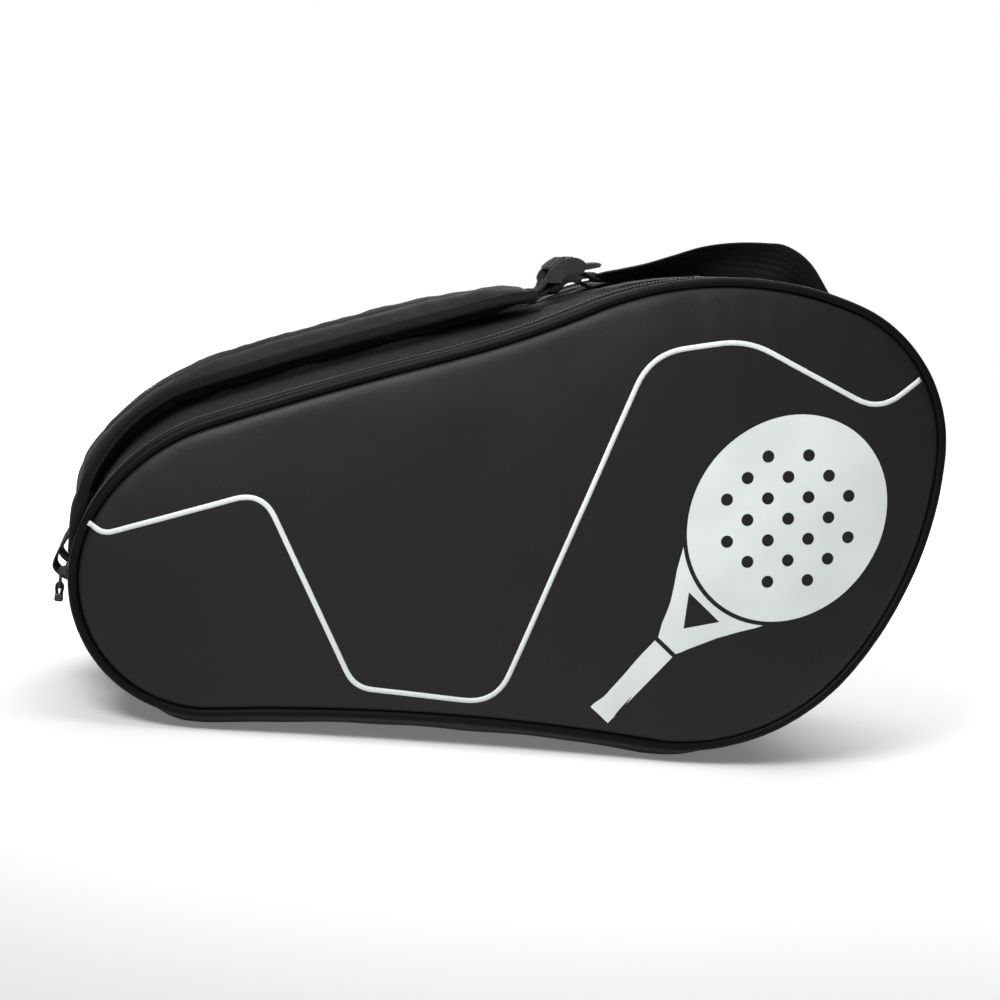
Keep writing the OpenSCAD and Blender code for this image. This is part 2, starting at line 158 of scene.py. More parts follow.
def smooth(a, b, x):
    t = np.clip((np.asarray(x, float) - a) / (b - a), 0, 1)
    return t * t * (3 - 2 * t)


def rise(u):
    """Rise of the spine over the waist."""
    return SPINE_RISE * smooth(*HUMP[:2], u) * (1 - smooth(*HUMP[2:], u))


def drop(u):
    """Drop of the lower gusset to the ground, between the tabs at the zips' ends."""
    u = np.where(np.asarray(u) < 0.5, np.asarray(u) + 1, u)
    down = smooth(ZIP_END + share(TAB_L), GROUND[0], u)
    up = smooth(GROUND[1], 1 + ZIP_START - share(TAB_L), u)
    return (SEAM_LIFT - GUSSET_OUT + PRESSED) * down * (1 - up)


def spine_out(u, y):
    return GUSSET_OUT + rise(u) * (1 - smooth(0.4 * SPINE_Y, SPINE_Y, np.abs(y)))


def level_out(u, y):
    return GUSSET_OUT + 0 * u


def lower_out(u, y):
    return GUSSET_OUT + drop(u) * (1 - smooth(0.7 * PANEL_IN, 1.1 * PANEL_IN, np.abs(y)))


def strap_base(u, side):
    """Offset of a pad's underside: it lies just off the spine and is sewn down at the heel."""
    end = PAD_END[side]
    held = HELD_UP[side] * (1 - smooth(end, end + 0.06, u))
    return spine_out(u, 0) + 1.5 + held - 1.2 * smooth(PAD_HEEL - 0.04, PAD_HEEL, u)


def waves(points, scale, seed=0.0):
    """Smooth noise of about -1 to 1 at each point, over lengths of scale."""
    points = np.asarray(points, float)
    flat = points.reshape(-1, points.shape[-1]) / scale
    pad = np.zeros((len(flat), 3))
    pad[:, : flat.shape[1]] = flat
    pad[:, 2] += seed
    return np.array([noise.noise(Vector(p)) for p in pad]).reshape(points.shape[:-1])


# ---- Points and lines ----


def unit(vectors):
    return vectors / np.linalg.norm(vectors, axis=1)[:, None]


def in_space(points, y):
    """(x, z) points or directions at depth y."""
    return np.column_stack([points[:, 0], np.broadcast_to(y, len(points)), points[:, 1]])


def mix(ends, t):
    """Value between two ends, where t goes from 0 to 1."""
    return ends[0] + (ends[1] - ends[0]) * t


def closed(points):
    return np.vstack([points, points[:1]])


def travelled(points):
    """Distance along a line up to each of its points."""
    return np.r_[0, np.cumsum(np.linalg.norm(np.diff(points, axis=0), axis=1))]


def resampled(points, travel, at):
    """A line's points at other distances along it."""
    return np.column_stack([np.interp(at, travel, column) for column in points.T])


def circle(radius, count):
    angles = np.linspace(0, 2 * np.pi, count, endpoint=False)
    return radius * np.column_stack([np.cos(angles), np.sin(angles)])


def seam_points(u, y, offset):
    """Points at shares u, depths y and an offset from the seam, with the outward directions."""
    return in_space(SEAM.spot(u, offset), y), in_space(SEAM.outward(u), 0)


def seam_line(a, b, y, offset):
    """Line along the outline from share a to b at depth y: points and the outward direction."""
    u = np.arange(a, b, share(1.0))
    return seam_points(u, y, offset(u) if callable(offset) else offset)


# ---- Mesh building ----


class Build:
    """Collects quads in mm with map coordinates in mm, and makes one object of them."""

    def __init__(self):
        self.verts, self.faces, self.maps, self.count = [], [], [], 0

    def add(self, verts, faces, maps=None):
        verts, faces = np.asarray(verts, float).reshape(-1, 3), np.asarray(faces, int)
        if maps is None:
            maps = verts[faces][..., [0, 2]]
        self.verts.append(verts)
        self.faces.append(faces + self.count)
        self.maps.append(np.asarray(maps, float))
        self.count += len(verts)
        return self

    def rings(self, rings, loop=False):
        """Skin through matching rings of points, shaped (stations, points, 3)."""
        rings = np.asarray(rings, float)
        s, n = rings.shape[:2]
        i = np.arange(s if loop else s - 1)[:, None]
        j = np.arange(n)[None, :]
        i2, j2 = (i + 1) % s, (j + 1) % n
        quads = np.stack([i * n + j, i * n + j2, i2 * n + j2, i2 * n + j], -1).reshape(-1, 4)
        along, across = travelled(closed(rings.mean(1))), travelled(closed(rings[s // 2]))
        a, b = np.broadcast_arrays(along[i], across[j])
        a2, b2 = np.broadcast_arrays(along[i + 1], across[j + 1])
        maps = np.stack([a, b, a, b2, a2, b2, a2, b], -1).reshape(-1, 4, 2)
        self.add(rings, quads, maps)
        if not loop:
            j = np.arange(n // 2 - 1)
            first = np.stack([j, j + 1, n - 2 - j, n - 1 - j], -1)
            base = self.count - s * n
            for cap in (first[:, ::-1], first + (s - 1) * n):
                self.faces.append(cap + base)
                self.maps.append(np.zeros((len(cap), 4, 2)))
        return self

    def copies(self, verts, faces, origins, axes):
        """One small shape at every origin, turned to its own axes, shaped (places, 3, 3)."""
        placed = np.einsum("vk,nkc->nvc", np.asarray(verts, float), axes) + origins[:, None, :]
        faces = np.asarray(faces, int)
        every = faces[None] + (np.arange(len(origins)) * len(verts))[:, None, None]
        return self.add(placed.reshape(-1, 3), every.reshape(-1, faces.shape[1]))

    def make(self, name, material, soft=True):
        """Makes the object, in metres, with its map and its material."""
        verts = np.vstack(self.verts) * MM
        mesh = bpy.data.meshes.new(name)
        faces = [f for part in self.faces for f in part.tolist()]
        mesh.from_pydata(verts.tolist(), [], faces)
        layer = mesh.uv_layers.new(name="Cloth")
        flat = np.concatenate([m.reshape(-1, 2) for m in self.maps]) * MM
        layer.data.foreach_set("uv", flat.astype(np.float32).ravel())
        mesh.validate()
        mesh.polygons.foreach_set("use_smooth", [soft] * len(mesh.polygons))
        obj = bpy.data.objects.new(name, mesh)
        bpy.context.collection.objects.link(obj)
        mesh.materials.append(material)
        return obj


def outline_rings(us, ys, outer, inner):
    """Closed sections across the outline: outer face over ys, back along the inner face."""
    us, ys = np.asarray(us, float), np.asarray(ys, float)
    u, y = np.meshgrid(us, ys, indexing="ij")

    def face(offset):
        p = SEAM.spot(u, offset)
        return np.stack([p[..., 0], y, p[..., 1]], -1)

    return np.concatenate([face(outer), face(inner)[:, ::-1]], 1)


def rounded_box(half, softness=0.3):
    """Points and faces of a small block with softened ends, along its own first axis."""
    a, b, c = half
    rings = []
    for x, k in ((-a, 1 - softness), (-a * (1 - softness), 1), (a * (1 - softness), 1), (a, 1 - softness)):
        rings.append([[x, -b * k, -c * k], [x, b * k, -c * k], [x, b * k, c * k], [x, -b * k, c * k]])
    block = Build().rings(rings)
    return np.vstack(block.verts), np.vstack(block.faces)


def section(w, t, corner):
    """Points round a flat section w wide and t thick with rounded corners, as (across, up)."""
    points = []
    for cx, cy, start in ((1, -1, -90), (1, 1, 0), (-1, 1, 90), (-1, -1, 180)):
        for turn in (0, 30, 60, 90):
            a = math.radians(start + turn)
            x = cx * (w / 2 - corner) + corner * math.cos(a)
            y = cy * (t / 2 - corner) + corner * math.sin(a)
            points.append([x, y])
    return np.array(points)


def swept(origins, sides, ups, shape):
    """Rings of a section shape carried along origins, with its own axes at each station."""
    shape = np.asarray(shape, float)
    if shape.ndim == 2:
        shape = np.broadcast_to(shape, (len(origins), *shape.shape))
    return origins[:, None] + shape[..., :1] * sides[:, None] + shape[..., 1:] * ups[:, None]


def curve_through(knots, steps):
    """Points of a smooth line through knots of any dimension, steps to each span."""
    knots = np.asarray(knots, float)
    k = np.vstack([2 * knots[0] - knots[1], knots, 2 * knots[-1] - knots[-2]])
    t = np.linspace(0, 1, steps, endpoint=False)[:, None]
    out = []
    for i in range(1, len(k) - 2):
        a, b, c, d = k[i - 1 : i + 3]
        square, cube = 2 * a - 5 * b + 4 * c - d, 3 * b - a - 3 * c + d
        out.append(0.5 * (2 * b + (c - a) * t + square * t**2 + cube * t**3))
    return np.vstack([*out, k[-2][None]])


def frames(points, up):
    """Sides and ups square to a line, as near as can be to the given up."""
    ahead = unit(np.gradient(points, axis=0))
    side = unit(np.cross(np.broadcast_to(np.asarray(up, float), points.shape), ahead))
    return side, np.cross(ahead, side)


def flat_mesh(border, inside):
    """Triangles over the region inside a closed border, through the inside points too."""
    points = [Vector(p) for p in np.vstack([border, inside])]
    n = len(border)
    edges = [(i, (i + 1) % n) for i in range(n)]
    verts, _, faces, *_ = delaunay_2d_cdt(points, edges, [], 1, 1e-6)
    return np.array(verts), np.array(faces)


def within(points, border, margin):
    """Which points lie inside a closed border, by at least the margin."""
    a, b = border, np.roll(border, -1, 0)
    ab = b - a
    gap = points[:, None] - a
    t = np.clip((gap * ab).sum(2) / (ab**2).sum(1), 0, 1)
    far = np.linalg.norm(gap - t[..., None] * ab, axis=2).min(1)
    straddle = (a[:, 1] > points[:, 1, None]) != (b[:, 1] > points[:, 1, None])
    with np.errstate(divide="ignore", invalid="ignore"):
        cross = a[:, 0] + (points[:, 1, None] - a[:, 1]) * ab[:, 0] / ab[:, 1]
    odd = (straddle & (points[:, 0, None] < cross)).sum(1) % 2 == 1
    return (np.where(odd, far, -far)) > margin


def filled(loops, inside=np.empty((0, 2))):
    """Triangles inside the first closed loop and outside the others, through the inside points too."""
    points = [Vector(p) for p in np.vstack([*loops, inside])]
    edges, count = [], 0
    for loop in loops:
        n = len(loop)
        edges += [(count + i, count + (i + 1) % n) for i in range(n)]
        count += n
    verts, _, faces, *_ = delaunay_2d_cdt(points, edges, [], 4, 1e-6)
    verts = np.array(verts)
    centres = np.array([verts[list(f)].mean(0) for f in faces])
    solid = within(centres, loops[0], 0)
    for hole in loops[1:]:
        solid &= ~within(centres, hole, 0)
    return verts, np.array([f for f, k in zip(faces, solid) if k])


RING = np.arange(720) / 720
RING_POINTS = SEAM.spot(RING)


def seam_distance(points):
    """How far inside the seam each point is, and the share of the outline next to it."""
    a = RING_POINTS
    ab = np.roll(a, -1, 0) - a
    depth, at = [], []
    for chunk in np.array_split(np.asarray(points, float), max(1, len(points) // 2000)):
        gap = chunk[:, None] - a
        t = np.clip((gap * ab).sum(2) / (ab**2).sum(1), 0, 1)
        far = np.linalg.norm(gap - t[..., None] * ab, axis=2)
        best = far.argmin(1)
        rows = np.arange(len(chunk))
        depth.append(far[rows, best])
        at.append((best + t[rows, best]) / len(a))
    return np.concatenate(depth), np.concatenate(at)


# ---- Materials ----


class Finish:
    """A procedural material: a Principled shader whose colour, roughness and bump come from
    the piece's own map, in metres along and across, or from its place in the frame."""

    def __init__(self, name, colour, roughness, **sockets):
        self.material = bpy.data.materials.new(name)
        self.material.use_nodes = True
        self.tree = self.material.node_tree
        self.shader = self.tree.nodes["Principled BSDF"]
        self.shader.inputs["Base Color"].default_value = (*colour, 1)
        self.shader.inputs["Roughness"].default_value = roughness
        for socket, value in sockets.items():
            self.shader.inputs[socket.replace("_", " ")].default_value = value
        self.colour, self.normal = colour, None
        place = self.tree.nodes.new("ShaderNodeTexCoord")
        self.place = place.outputs["Object"]
        cloth = self.tree.nodes.new("ShaderNodeUVMap")
        cloth.uv_map = "Cloth"
        self.cloth = cloth.outputs["UV"]

    def node(self, kind, inputs=(), out=0, **settings):
        """Adds a node and returns one of its outputs. Inputs are values or other nodes' outputs."""
        node = self.tree.nodes.new(kind)
        for key, value in settings.items():
            setattr(node, key, value)
        for key, value in inputs.items() if isinstance(inputs, dict) else enumerate(inputs):
            if isinstance(value, bpy.types.NodeSocket):
                self.tree.links.new(value, node.inputs[key])
            else:
                node.inputs[key].default_value = value
        return node.outputs[out]

    def sum(self, operation, *values):
        return self.node("ShaderNodeMath", values, operation=operation)

    def axes(self, coordinates):
        split = self.tree.nodes.new("ShaderNodeSeparateXYZ")
        self.tree.links.new(coordinates, split.inputs[0])
        return split.outputs

    def sine(self, coordinate, pitch):
        """Sine wave over a coordinate in metres, pitch in mm."""
        return self.sum("SINE", self.sum("MULTIPLY", coordinate, 2 * math.pi / (pitch * MM)))

    def noise(self, size, detail=2.0, coordinates=None):
        """Noise from 0 to 1 over lengths of size in mm."""
        inputs = {"Vector": coordinates or self.place, "Scale": 1 / (size * MM), "Detail": detail}
        return self.node("ShaderNodeTexNoise", inputs)

    def bump(self, height, depth, strength=1.0):
        """Adds relief of the given depth in mm."""
        inputs = {"Height": height, "Distance": depth * MM, "Strength": strength}
        if self.normal:
            inputs["Normal"] = self.normal
        self.normal = self.node("ShaderNodeBump", inputs)
        self.tree.links.new(self.normal, self.shader.inputs["Normal"])
        return self

    def tone(self, factor, other, low=0.35, high=0.65):
        """Mixes the colour towards another where factor goes from low to high."""
        amount = self.node("ShaderNodeMapRange", {"Value": factor, "From Min": low, "From Max": high})
        base = self.shader.inputs["Base Color"]
        was = base.links[0].from_socket if base.is_linked else (*self.colour, 1)
        mix = self.tree.nodes.new("ShaderNodeMix")
        mix.data_type = "RGBA"
        self.tree.links.new(amount, mix.inputs[0])
        if isinstance(was, bpy.types.NodeSocket):
            self.tree.links.new(was, mix.inputs[6])
        else:
            mix.inputs[6].default_value = was
        mix.inputs[7].default_value = (*other, 1)
        self.tree.links.new(mix.outputs[2], base)
        return self

    def gloss(self, factor, low, high):
        """Roughness from low to high over a factor of 0 to 1."""
        ranged = self.node("ShaderNodeMapRange", {"Value": factor, "To Min": low, "To Max": high})
        self.tree.links.new(ranged, self.shader.inputs["Roughness"])
        return self

    def painted_edge_highlight(self, colour):
        """Painted highlight: paler where edges stick out."""
        edges = self.node("ShaderNodeNewGeometry", out=7)
        edge_highlight_mask = self.sum("MULTIPLY", edges, self.sum("ADD", self.noise(9), 0.5))
        return self.tone(edge_highlight_mask, colour, 0.52, 0.62)


def darker(colour, k):
    return tuple(c * k for c in colour)


def woven(name, colour, pitch, depth=0.12, roughness=0.75, twill=False, sheen=0.05):
    """Cloth with yarns of the given pitch in mm."""
    f = Finish(name, colour, roughness, Sheen_Weight=sheen, Sheen_Roughness=0.5, Specular_IOR_Level=0.14)
    x, y, _ = f.axes(f.cloth)
    if twill:
        yarn = f.sine(f.sum("ADD", x, f.sum("MULTIPLY", y, 0.6)), pitch)
    else:
        yarn = f.sum("MULTIPLY", f.sine(x, pitch), f.sine(y, pitch))
    slub = f.noise(pitch * 5, 3.0, f.cloth)
    f.tone(yarn, darker(colour, 1.8), -0.2, 1.0)
    f.tone(f.noise(60), darker(colour, 0.6), 0.45, 0.75)
    f.gloss(slub, roughness - 0.1, roughness + 0.12)
    f.bump(f.noise(22, 3.0), 0.5, 0.6)
    return f.bump(yarn, depth)


def ribbed(name, colour, pitch=1.7, roughness=0.62):
    """Webbing: rows of chevron yarns between plain edges."""
    f = Finish(name, colour, roughness, Sheen_Weight=0.04, Sheen_Roughness=0.4, Specular_IOR_Level=0.14)
    x, y, _ = f.axes(f.cloth)
    zigzag = f.sum("PINGPONG", y, 2.4 * MM)
    yarn = f.sine(f.sum("ADD", x, zigzag), pitch)
    column = f.sine(y, 2.4)
    f.tone(yarn, darker(colour, 1.5), 0.0, 1.0)
    f.gloss(f.noise(12), roughness - 0.12, roughness + 0.12)
    f.bump(column, 0.05)
    return f.bump(yarn, 0.14)


def coated(name, colour, roughness, gleam=0.22):
    """Polyurethane-coated fabric with a fine leather grain."""
    f = Finish(name, colour, roughness, Specular_IOR_Level=gleam)
    cells = f.node("ShaderNodeTexVoronoi", {"Vector": f.place, "Scale": 1 / (1.3 * MM)})
    pores = f.node("ShaderNodeTexVoronoi", {"Vector": f.place, "Scale": 1 / (0.6 * MM)})
    f.tone(f.noise(70, 4.0), darker(colour, 1.25), 0.40, 0.72)
    f.tone(cells, darker(colour, 0.75), 0.0, 0.5)
    f.gloss(f.noise(30, 4.0), roughness - 0.06, roughness + 0.08)
    f.bump(f.noise(14, 4.0), 0.25, 0.5)
    f.bump(cells, 0.10, 0.7)
    return f.bump(pores, 0.04, 0.6)


def moulded(name, colour, roughness=0.42):
    """Injection-moulded plastic with a spark-eroded texture and a painted highlight along its edges."""
    f = Finish(name, colour, roughness)
    grain = f.noise(0.5, 2.0)
    f.tone(f.noise(8, 4.0), darker(colour, 0.7), 0.4, 0.7)
    # Painted highlight: the edges that stick out are painted paler.
    f.painted_edge_highlight(darker(colour, 3.5))
    f.gloss(f.noise(6, 5.0), roughness - 0.08, roughness + 0.12)
    return f.bump(grain, 0.05, 0.7)


def printed(name, colour, roughness):
    """Heat-pressed film that lets the leather grain beneath show through."""
    f = Finish(name, colour, roughness)
    grain = f.node("ShaderNodeTexVoronoi", {"Vector": f.place, "Scale": 1 / (1.3 * MM)})
    f.tone(f.noise(40, 3.0), darker(colour, 0.92), 0.4, 0.7)
    f.gloss(f.noise(25, 4.0), roughness - 0.06, roughness + 0.1)
    return f.bump(grain, 0.05, 0.6)


def quilted(name, colour, cell, roughness, metallic=0.0):
    """Foil-backed lining with a stitched diamond quilting."""
    f = Finish(name, colour, roughness, Metallic=metallic)
    x, _, z = f.axes(f.place)
    a = f.sum("ABSOLUTE", f.sine(f.sum("ADD", x, z), 2 * cell))
    b = f.sum("ABSOLUTE", f.sine(f.sum("SUBTRACT", x, z), 2 * cell))
    puff = f.sum("POWER", f.sum("MULTIPLY", a, b), 0.5)
    f.tone(puff, darker(colour, 0.55), 0.25, 0.0)
    f.gloss(f.noise(4, 4.0), roughness - 0.1, roughness + 0.2)
    f.bump(f.noise(5, 5.0), 0.4, 0.6)
    return f.bump(puff, 1.2)


PU = coated("CoatedPanel", (0.0085, 0.0090, 0.0080), 0.52).material
PIPE = coated("PipingCloth", (0.0025, 0.0027, 0.0026), 0.55, 0.1).material
GUSSET = woven("GussetWeave", (0.0060, 0.0064, 0.0064), 1.5).material
MESH = woven("SpineMesh", (0.0085, 0.0090, 0.0085), 2.6, 0.35, 0.7).material
TAPE = woven("ZipTape", (0.0055, 0.0060, 0.0060), 1.2, twill=True).material
TEETH = moulded("ZipCoil", (0.022, 0.024, 0.024), 0.40).material
PAD = woven("StrapCloth", (0.0058, 0.0062, 0.0060), 1.3, 0.14, 0.7, sheen=0.06).material
BINDING = ribbed("Binding", (0.0040, 0.0043, 0.0043), 1.4).material
WEB = ribbed("Webbing", (0.0060, 0.0064, 0.0062)).material
THREAD = woven("Thread", (0.018, 0.019, 0.019), 0.5, 0.08, 0.6, twill=True).material
PLASTIC = moulded("Acetal", (0.0075, 0.0080, 0.0080)).material
FILM = printed("PrintFilm", (0.56, 0.60, 0.58), 0.45).material
FOIL = quilted("FoilLining", (0.34, 0.35, 0.36), 22, 0.38, 0.6).material
DIVIDER = quilted("DividerCloth", (0.040, 0.043, 0.046), 30, 0.7).material


def piece(build, name, material, body=None, replaces=(), soft=True):
    """Makes a piece, rides it on its body and hides the CAD nodes that it stands for."""
    obj = build.make(name, material, soft)
    if body:
        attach(obj, body)
    if replaces:
        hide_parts(*replaces)
    return obj


# ---- Covers ----

SKIN_T = 1.2
SEAM_SINK = 2.6
CROWN = 5.0
CROWN_REACH = 40
EDGE_ROLL = 9
FOLD_H = 0.30
FOLD_L = 22
FOLD_REACH = 38
# Soft unevenness of the coated skin, as (height, length, seed)
UNEVEN = ((2.2, 120, 0), (0.8, 52, 5))
PIPING_R = 3.3
STEP = 2.5
BORDER = np.arange(480) / 480
# Where the coated skin is gathered most, as (share, width, height in mm)
GATHERS = (
    (0.26, 0.05, 1.1), (0.35, 0.05, 1.3), (0.67, 0.04, 1.2),
    (0.80, 0.06, 1.8), (0.98, 0.05, 0.8), (0.13, 0.05, 0.7),
)
PANEL_SEED = {"front": 3.0, "rear": 40.0}
LINING_T = 1.2
STRIP_T = 2.2
STRIP_SAG = 1.3
TAPE_OUT = GUSSET_OUT + 0.15
TAPE_T = 1.15
TOOTH = (1.7, 0.52, 0.75)
TOOTH_IN = 1.05


def round_seam(u, d, scale, seed):
    """Noise round the outline that meets itself, over lengths of scale along the seam."""
    radius = SEAM.length / (2 * math.pi)
    a = 2 * math.pi * np.asarray(u)
    depth = np.broadcast_to(0.3 * np.asarray(d, float), a.shape)
    return waves(np.stack([radius * np.cos(a), radius * np.sin(a), depth], -1), scale, seed)


def panel_out(points, seed):
    """How far outside the CAD's flat panel the crowned skin stands, at (x, z) points."""
    d, u = seam_distance(points)
    edge = np.clip(1 - d / EDGE_ROLL, 0, 1)
    rolled = -SEAM_SINK * (1 - np.sqrt(1 - edge**2))
    crown = CROWN * (1 - np.exp(-d / CROWN_REACH))
    height = FOLD_H
    for at, width, extra in GATHERS:
        away = (u - at + 0.5) % 1 - 0.5
        height = height + extra * np.exp(-((away / width) ** 2))
    folds = height * round_seam(u, d, FOLD_L, seed) * np.exp(-d / FOLD_REACH) * smooth(0, 7, d)
    uneven = sum(a * waves(points, length, seed + k) for a, length, k in UNEVEN) * smooth(0, 30, d)
    return rolled + crown + folds + uneven


def seam_rings(depths):
    return np.vstack([SEAM.spot(BORDER, -d) for d in depths])


def inside_grid(pitch, least):
    """Points of a triangular grid that are at least so far inside the seam."""
    low, high = RING_POINTS.min(0), RING_POINTS.max(0)
    xs = np.arange(low[0], high[0], pitch)
    zs = np.arange(low[1], high[1], pitch * math.sqrt(0.75))
    x, z = np.meshgrid(xs, zs)
    x = x + np.where(np.arange(len(zs)) % 2, pitch / 2, 0)[:, None]
    grid = np.stack([x.ravel(), z.ravel()], -1)
    depth, at = seam_distance(grid)
    near = SEAM.spot(at)
    centre_side = ((grid - near) * SEAM.outward(at)).sum(1) < 0
    return grid[(depth > least) & centre_side]


def slab(points, faces, front, back, border):
    """Closed sheet over flat triangles, with its two faces at y = front and y = back."""
    n = len(points)
    both = np.vstack([in_space(points, front), in_space(points, back)])
    build = Build().add(both, np.vstack([faces, faces[:, ::-1] + n]))
    ring = np.arange(border)
    nxt = (ring + 1) % border
    walls = np.stack([ring, ring + n, nxt + n, nxt], -1)
    build.faces.append(walls)
    build.maps.append(np.zeros((border, 4, 2)))
    return build


SKIN_POINTS, SKIN_FACES = flat_mesh(
    SEAM.spot(BORDER), np.vstack([seam_rings((1.0, 2.2, 3.8, 5.8, 8.2)), inside_grid(4.4, 11)])
)
LINING_POINTS, LINING_FACES = flat_mesh(
    SEAM.spot(BORDER[::2], -0.4), np.vstack([SEAM.spot(BORDER[::2], -5), inside_grid(9, 10)])
)


def cover_panel(side, s):
    """Crowned outer skin of a cover, and the foil lining behind it."""
    outer = s * (HALF + panel_out(SKIN_POINTS, PANEL_SEED[side]))
    faces = SKIN_FACES if s < 0 else SKIN_FACES[:, ::-1]
    skin = slab(SKIN_POINTS, faces, outer, outer - s * SKIN_T, len(BORDER))
    piece(skin, f"{side}_skin", PU, f"{side}_cover", [f"{side}_panel", f"{side}_foam"])
    puff = PANEL_IN + 0.6 * waves(LINING_POINTS, 30, 9)
    lining = slab(LINING_POINTS, LINING_FACES[:, ::s], s * puff, s * (puff + LINING_T), len(BORDER) // 2)
    piece(lining, f"{side}_cover_lining", FOIL, f"{side}_cover", [f"{side}_panel_lining"])


def cover_piping(side, s):
    """Cord wrapped in cloth round the whole seam."""
    line, out = seam_points(BORDER, s * (HALF - 4), PIPING / 2 + 0.25 * round_seam(BORDER, 0, 40, 2))
    radius = PIPING_R + 0.12 * round_seam(BORDER, 0, 9, 7)
    shapes = radius[:, None, None] * circle(1, 12)[::s]
    rings = swept(line, out, np.tile([0, s, 0], (len(line), 1)), shapes)
    piece(Build().rings(rings, loop=True), f"{side}_piping_cord", PIPE, f"{side}_cover", [f"{side}_piping"])


def cover_zip(side, s):
    """Fabric strip between the piping and the zip, then the zip's outer tape and teeth."""
    us = np.arange(ZIP_START, ZIP_END, share(STEP))
    ys = np.linspace(ZIP_Y + TAPE_W - 0.5, HALF - PIPING - 0.3, 9)
    u, y = np.meshgrid(us, ys, indexing="ij")
    bow = np.sin(np.pi * (y - ys[0]) / (ys[-1] - ys[0]))
    outer = GUSSET_OUT + (-STRIP_SAG * bow + 0.7 * slack(u, y, s, 34) * bow)
    strip = outline_rings(us, ys, outer, outer - STRIP_T)
    strip[..., 1] *= s
    piece(Build().rings(strip), f"{side}_strip", GUSSET, f"{side}_cover", [f"{side}_zip_strip"])
    tape(side, s, ZIP_Y + 1.0, ZIP_Y + TAPE_W + 0.3, f"{side}_cover", "outer")


def tape(side, s, y0, y1, body, which):
    """Half of a zip: a woven tape, a row of stitches and the teeth along its edge."""
    us = np.arange(ZIP_START, ZIP_END, share(STEP))
    band = outline_rings(us, np.linspace(y0, y1, 4), TAPE_OUT, TAPE_OUT - TAPE_T)
    band[..., 1] *= s
    piece(Build().rings(band), f"{side}_{which}_zip_tape", TAPE, body, [f"{side}_{which}_tape"])
    inner = which == "inner"
    at = np.arange(ZIP_START, ZIP_END, share(TOOTH_PITCH)) + (0 if inner else share(TOOTH_PITCH / 2))
    middle = ZIP_Y - TOOTH_IN if inner else ZIP_Y + TOOTH_IN
    origins, out = seam_points(at, s * middle, GUSSET_OUT + 0.9)
    along = np.column_stack([-out[:, 2], out[:, 1], out[:, 0]])
    axes = np.stack([np.tile([0, s, 0], (len(at), 1)), along, out], 1)
    teeth = Build().copies(*rounded_box(TOOTH), origins, axes)
    piece(teeth, f"{side}_{which}_teeth", TEETH, body)
    row = y0 + 1.4 if inner else y1 - 1.6
    line = seam_line(ZIP_START, ZIP_END, s * row, GUSSET_OUT + 0.2)
    stitched(f"{side}_{which}_tape_stitches", line, body)


def add_stitches(build, line, pitch=STITCH_PITCH):
    """Adds a row of stitches along a line of points, on the side of the ups."""
    points, ups = line
    travel = travelled(points)
    at = np.arange(pitch / 2, travel[-1], pitch)
    up = resampled(ups, travel, at)
    ahead = unit(resampled(points, travel, at + 0.5) - resampled(points, travel, at - 0.5))
    verts, faces = rounded_box((pitch * 0.39, 0.3, 0.22), 0.25)
    axes = np.stack([ahead, np.cross(up, ahead), up], 1)
    return build.copies(verts, faces, resampled(points, travel, at), axes)


def stitched(name, line, body, pitch=STITCH_PITCH):
    piece(add_stitches(Build(), line, pitch), name, THREAD, body)


# ---- Print on the front panel ----

STRIPE_W = 3.4
FILM_OUT = 0.22
FILM_PITCH = 4.0
# Corners of the stripe's middle line from the heel to the head, as (x, z, corner radius)
STRIPE = (
    (-272.3, 131.2, 0), (-262, 125.2, 12), (-165, 162, 22), (-93, 38, 22), (2, 34, 28),
    (78, 276, 42), (142, 292, 60), (240, 254, 30), (269, 280, 0),
)
RACKET = (186, 176)
RACKET_TILT = math.radians(52)
RACKET_R = 66
RACKET_STRETCH = 1.12
HOLE_R = 4.2
HOLE_PITCH = 20
THROAT_END = -118
THROAT_GAP = ((-82, 15), (-102, 0), (-82, -15))
GRIP_START = -121
GRIP_W = 17
GRIP_L = 62


def rounded_line(corners):
    """Points of a line through corners, each rounded by its own radius."""
    path = [np.array(c[:2], float) for c in corners]
    points = [path[0]]
    for i in range(1, len(path) - 1):
        a, b = path[i - 1] - path[i], path[i + 1] - path[i]
        la, lb = np.linalg.norm(a), np.linalg.norm(b)
        half = math.acos(a @ b / la / lb) / 2
        reach = min(corners[i][2] / math.tan(half), 0.48 * la, 0.48 * lb)
        p0, p1 = path[i] + a / la * reach, path[i] + b / lb * reach
        for t in np.linspace(0, 1, 10):
            points.append((1 - t) ** 2 * p0 + 2 * t * (1 - t) * path[i] + t**2 * p1)
    points = np.array([*points, path[-1]])
    travel = travelled(points)
    return resampled(points, travel, np.arange(0, travel[-1], STEP))


def on_panel(points, height=FILM_OUT):
    """(x, z) points laid on the crowned front skin."""
    return in_space(points, -(HALF + panel_out(points, PANEL_SEED["front"]) + height))


def front_stripe():
    line = rounded_line(STRIPE)
    ahead = unit(np.gradient(line, axis=0))
    aside = np.column_stack([-ahead[:, 1], ahead[:, 0]])
    w = STRIPE_W / 2
    shape = ((-w, -0.1), (-w, 1), (0, 1.15), (w, 1), (w, -0.1), (0, -0.1))
    rings = [on_panel(line + k * aside, FILM_OUT * h) for k, h in shape]
    piece(Build().rings(np.stack(rings, 1)), "stripe", FILM, "front_cover", ["front_stripe"])


def turned(points, angle, origin):
    c, s = math.cos(angle), math.sin(angle)
    return np.asarray(points, float) @ np.array([[c, s], [-s, c]]) + np.asarray(origin, float)


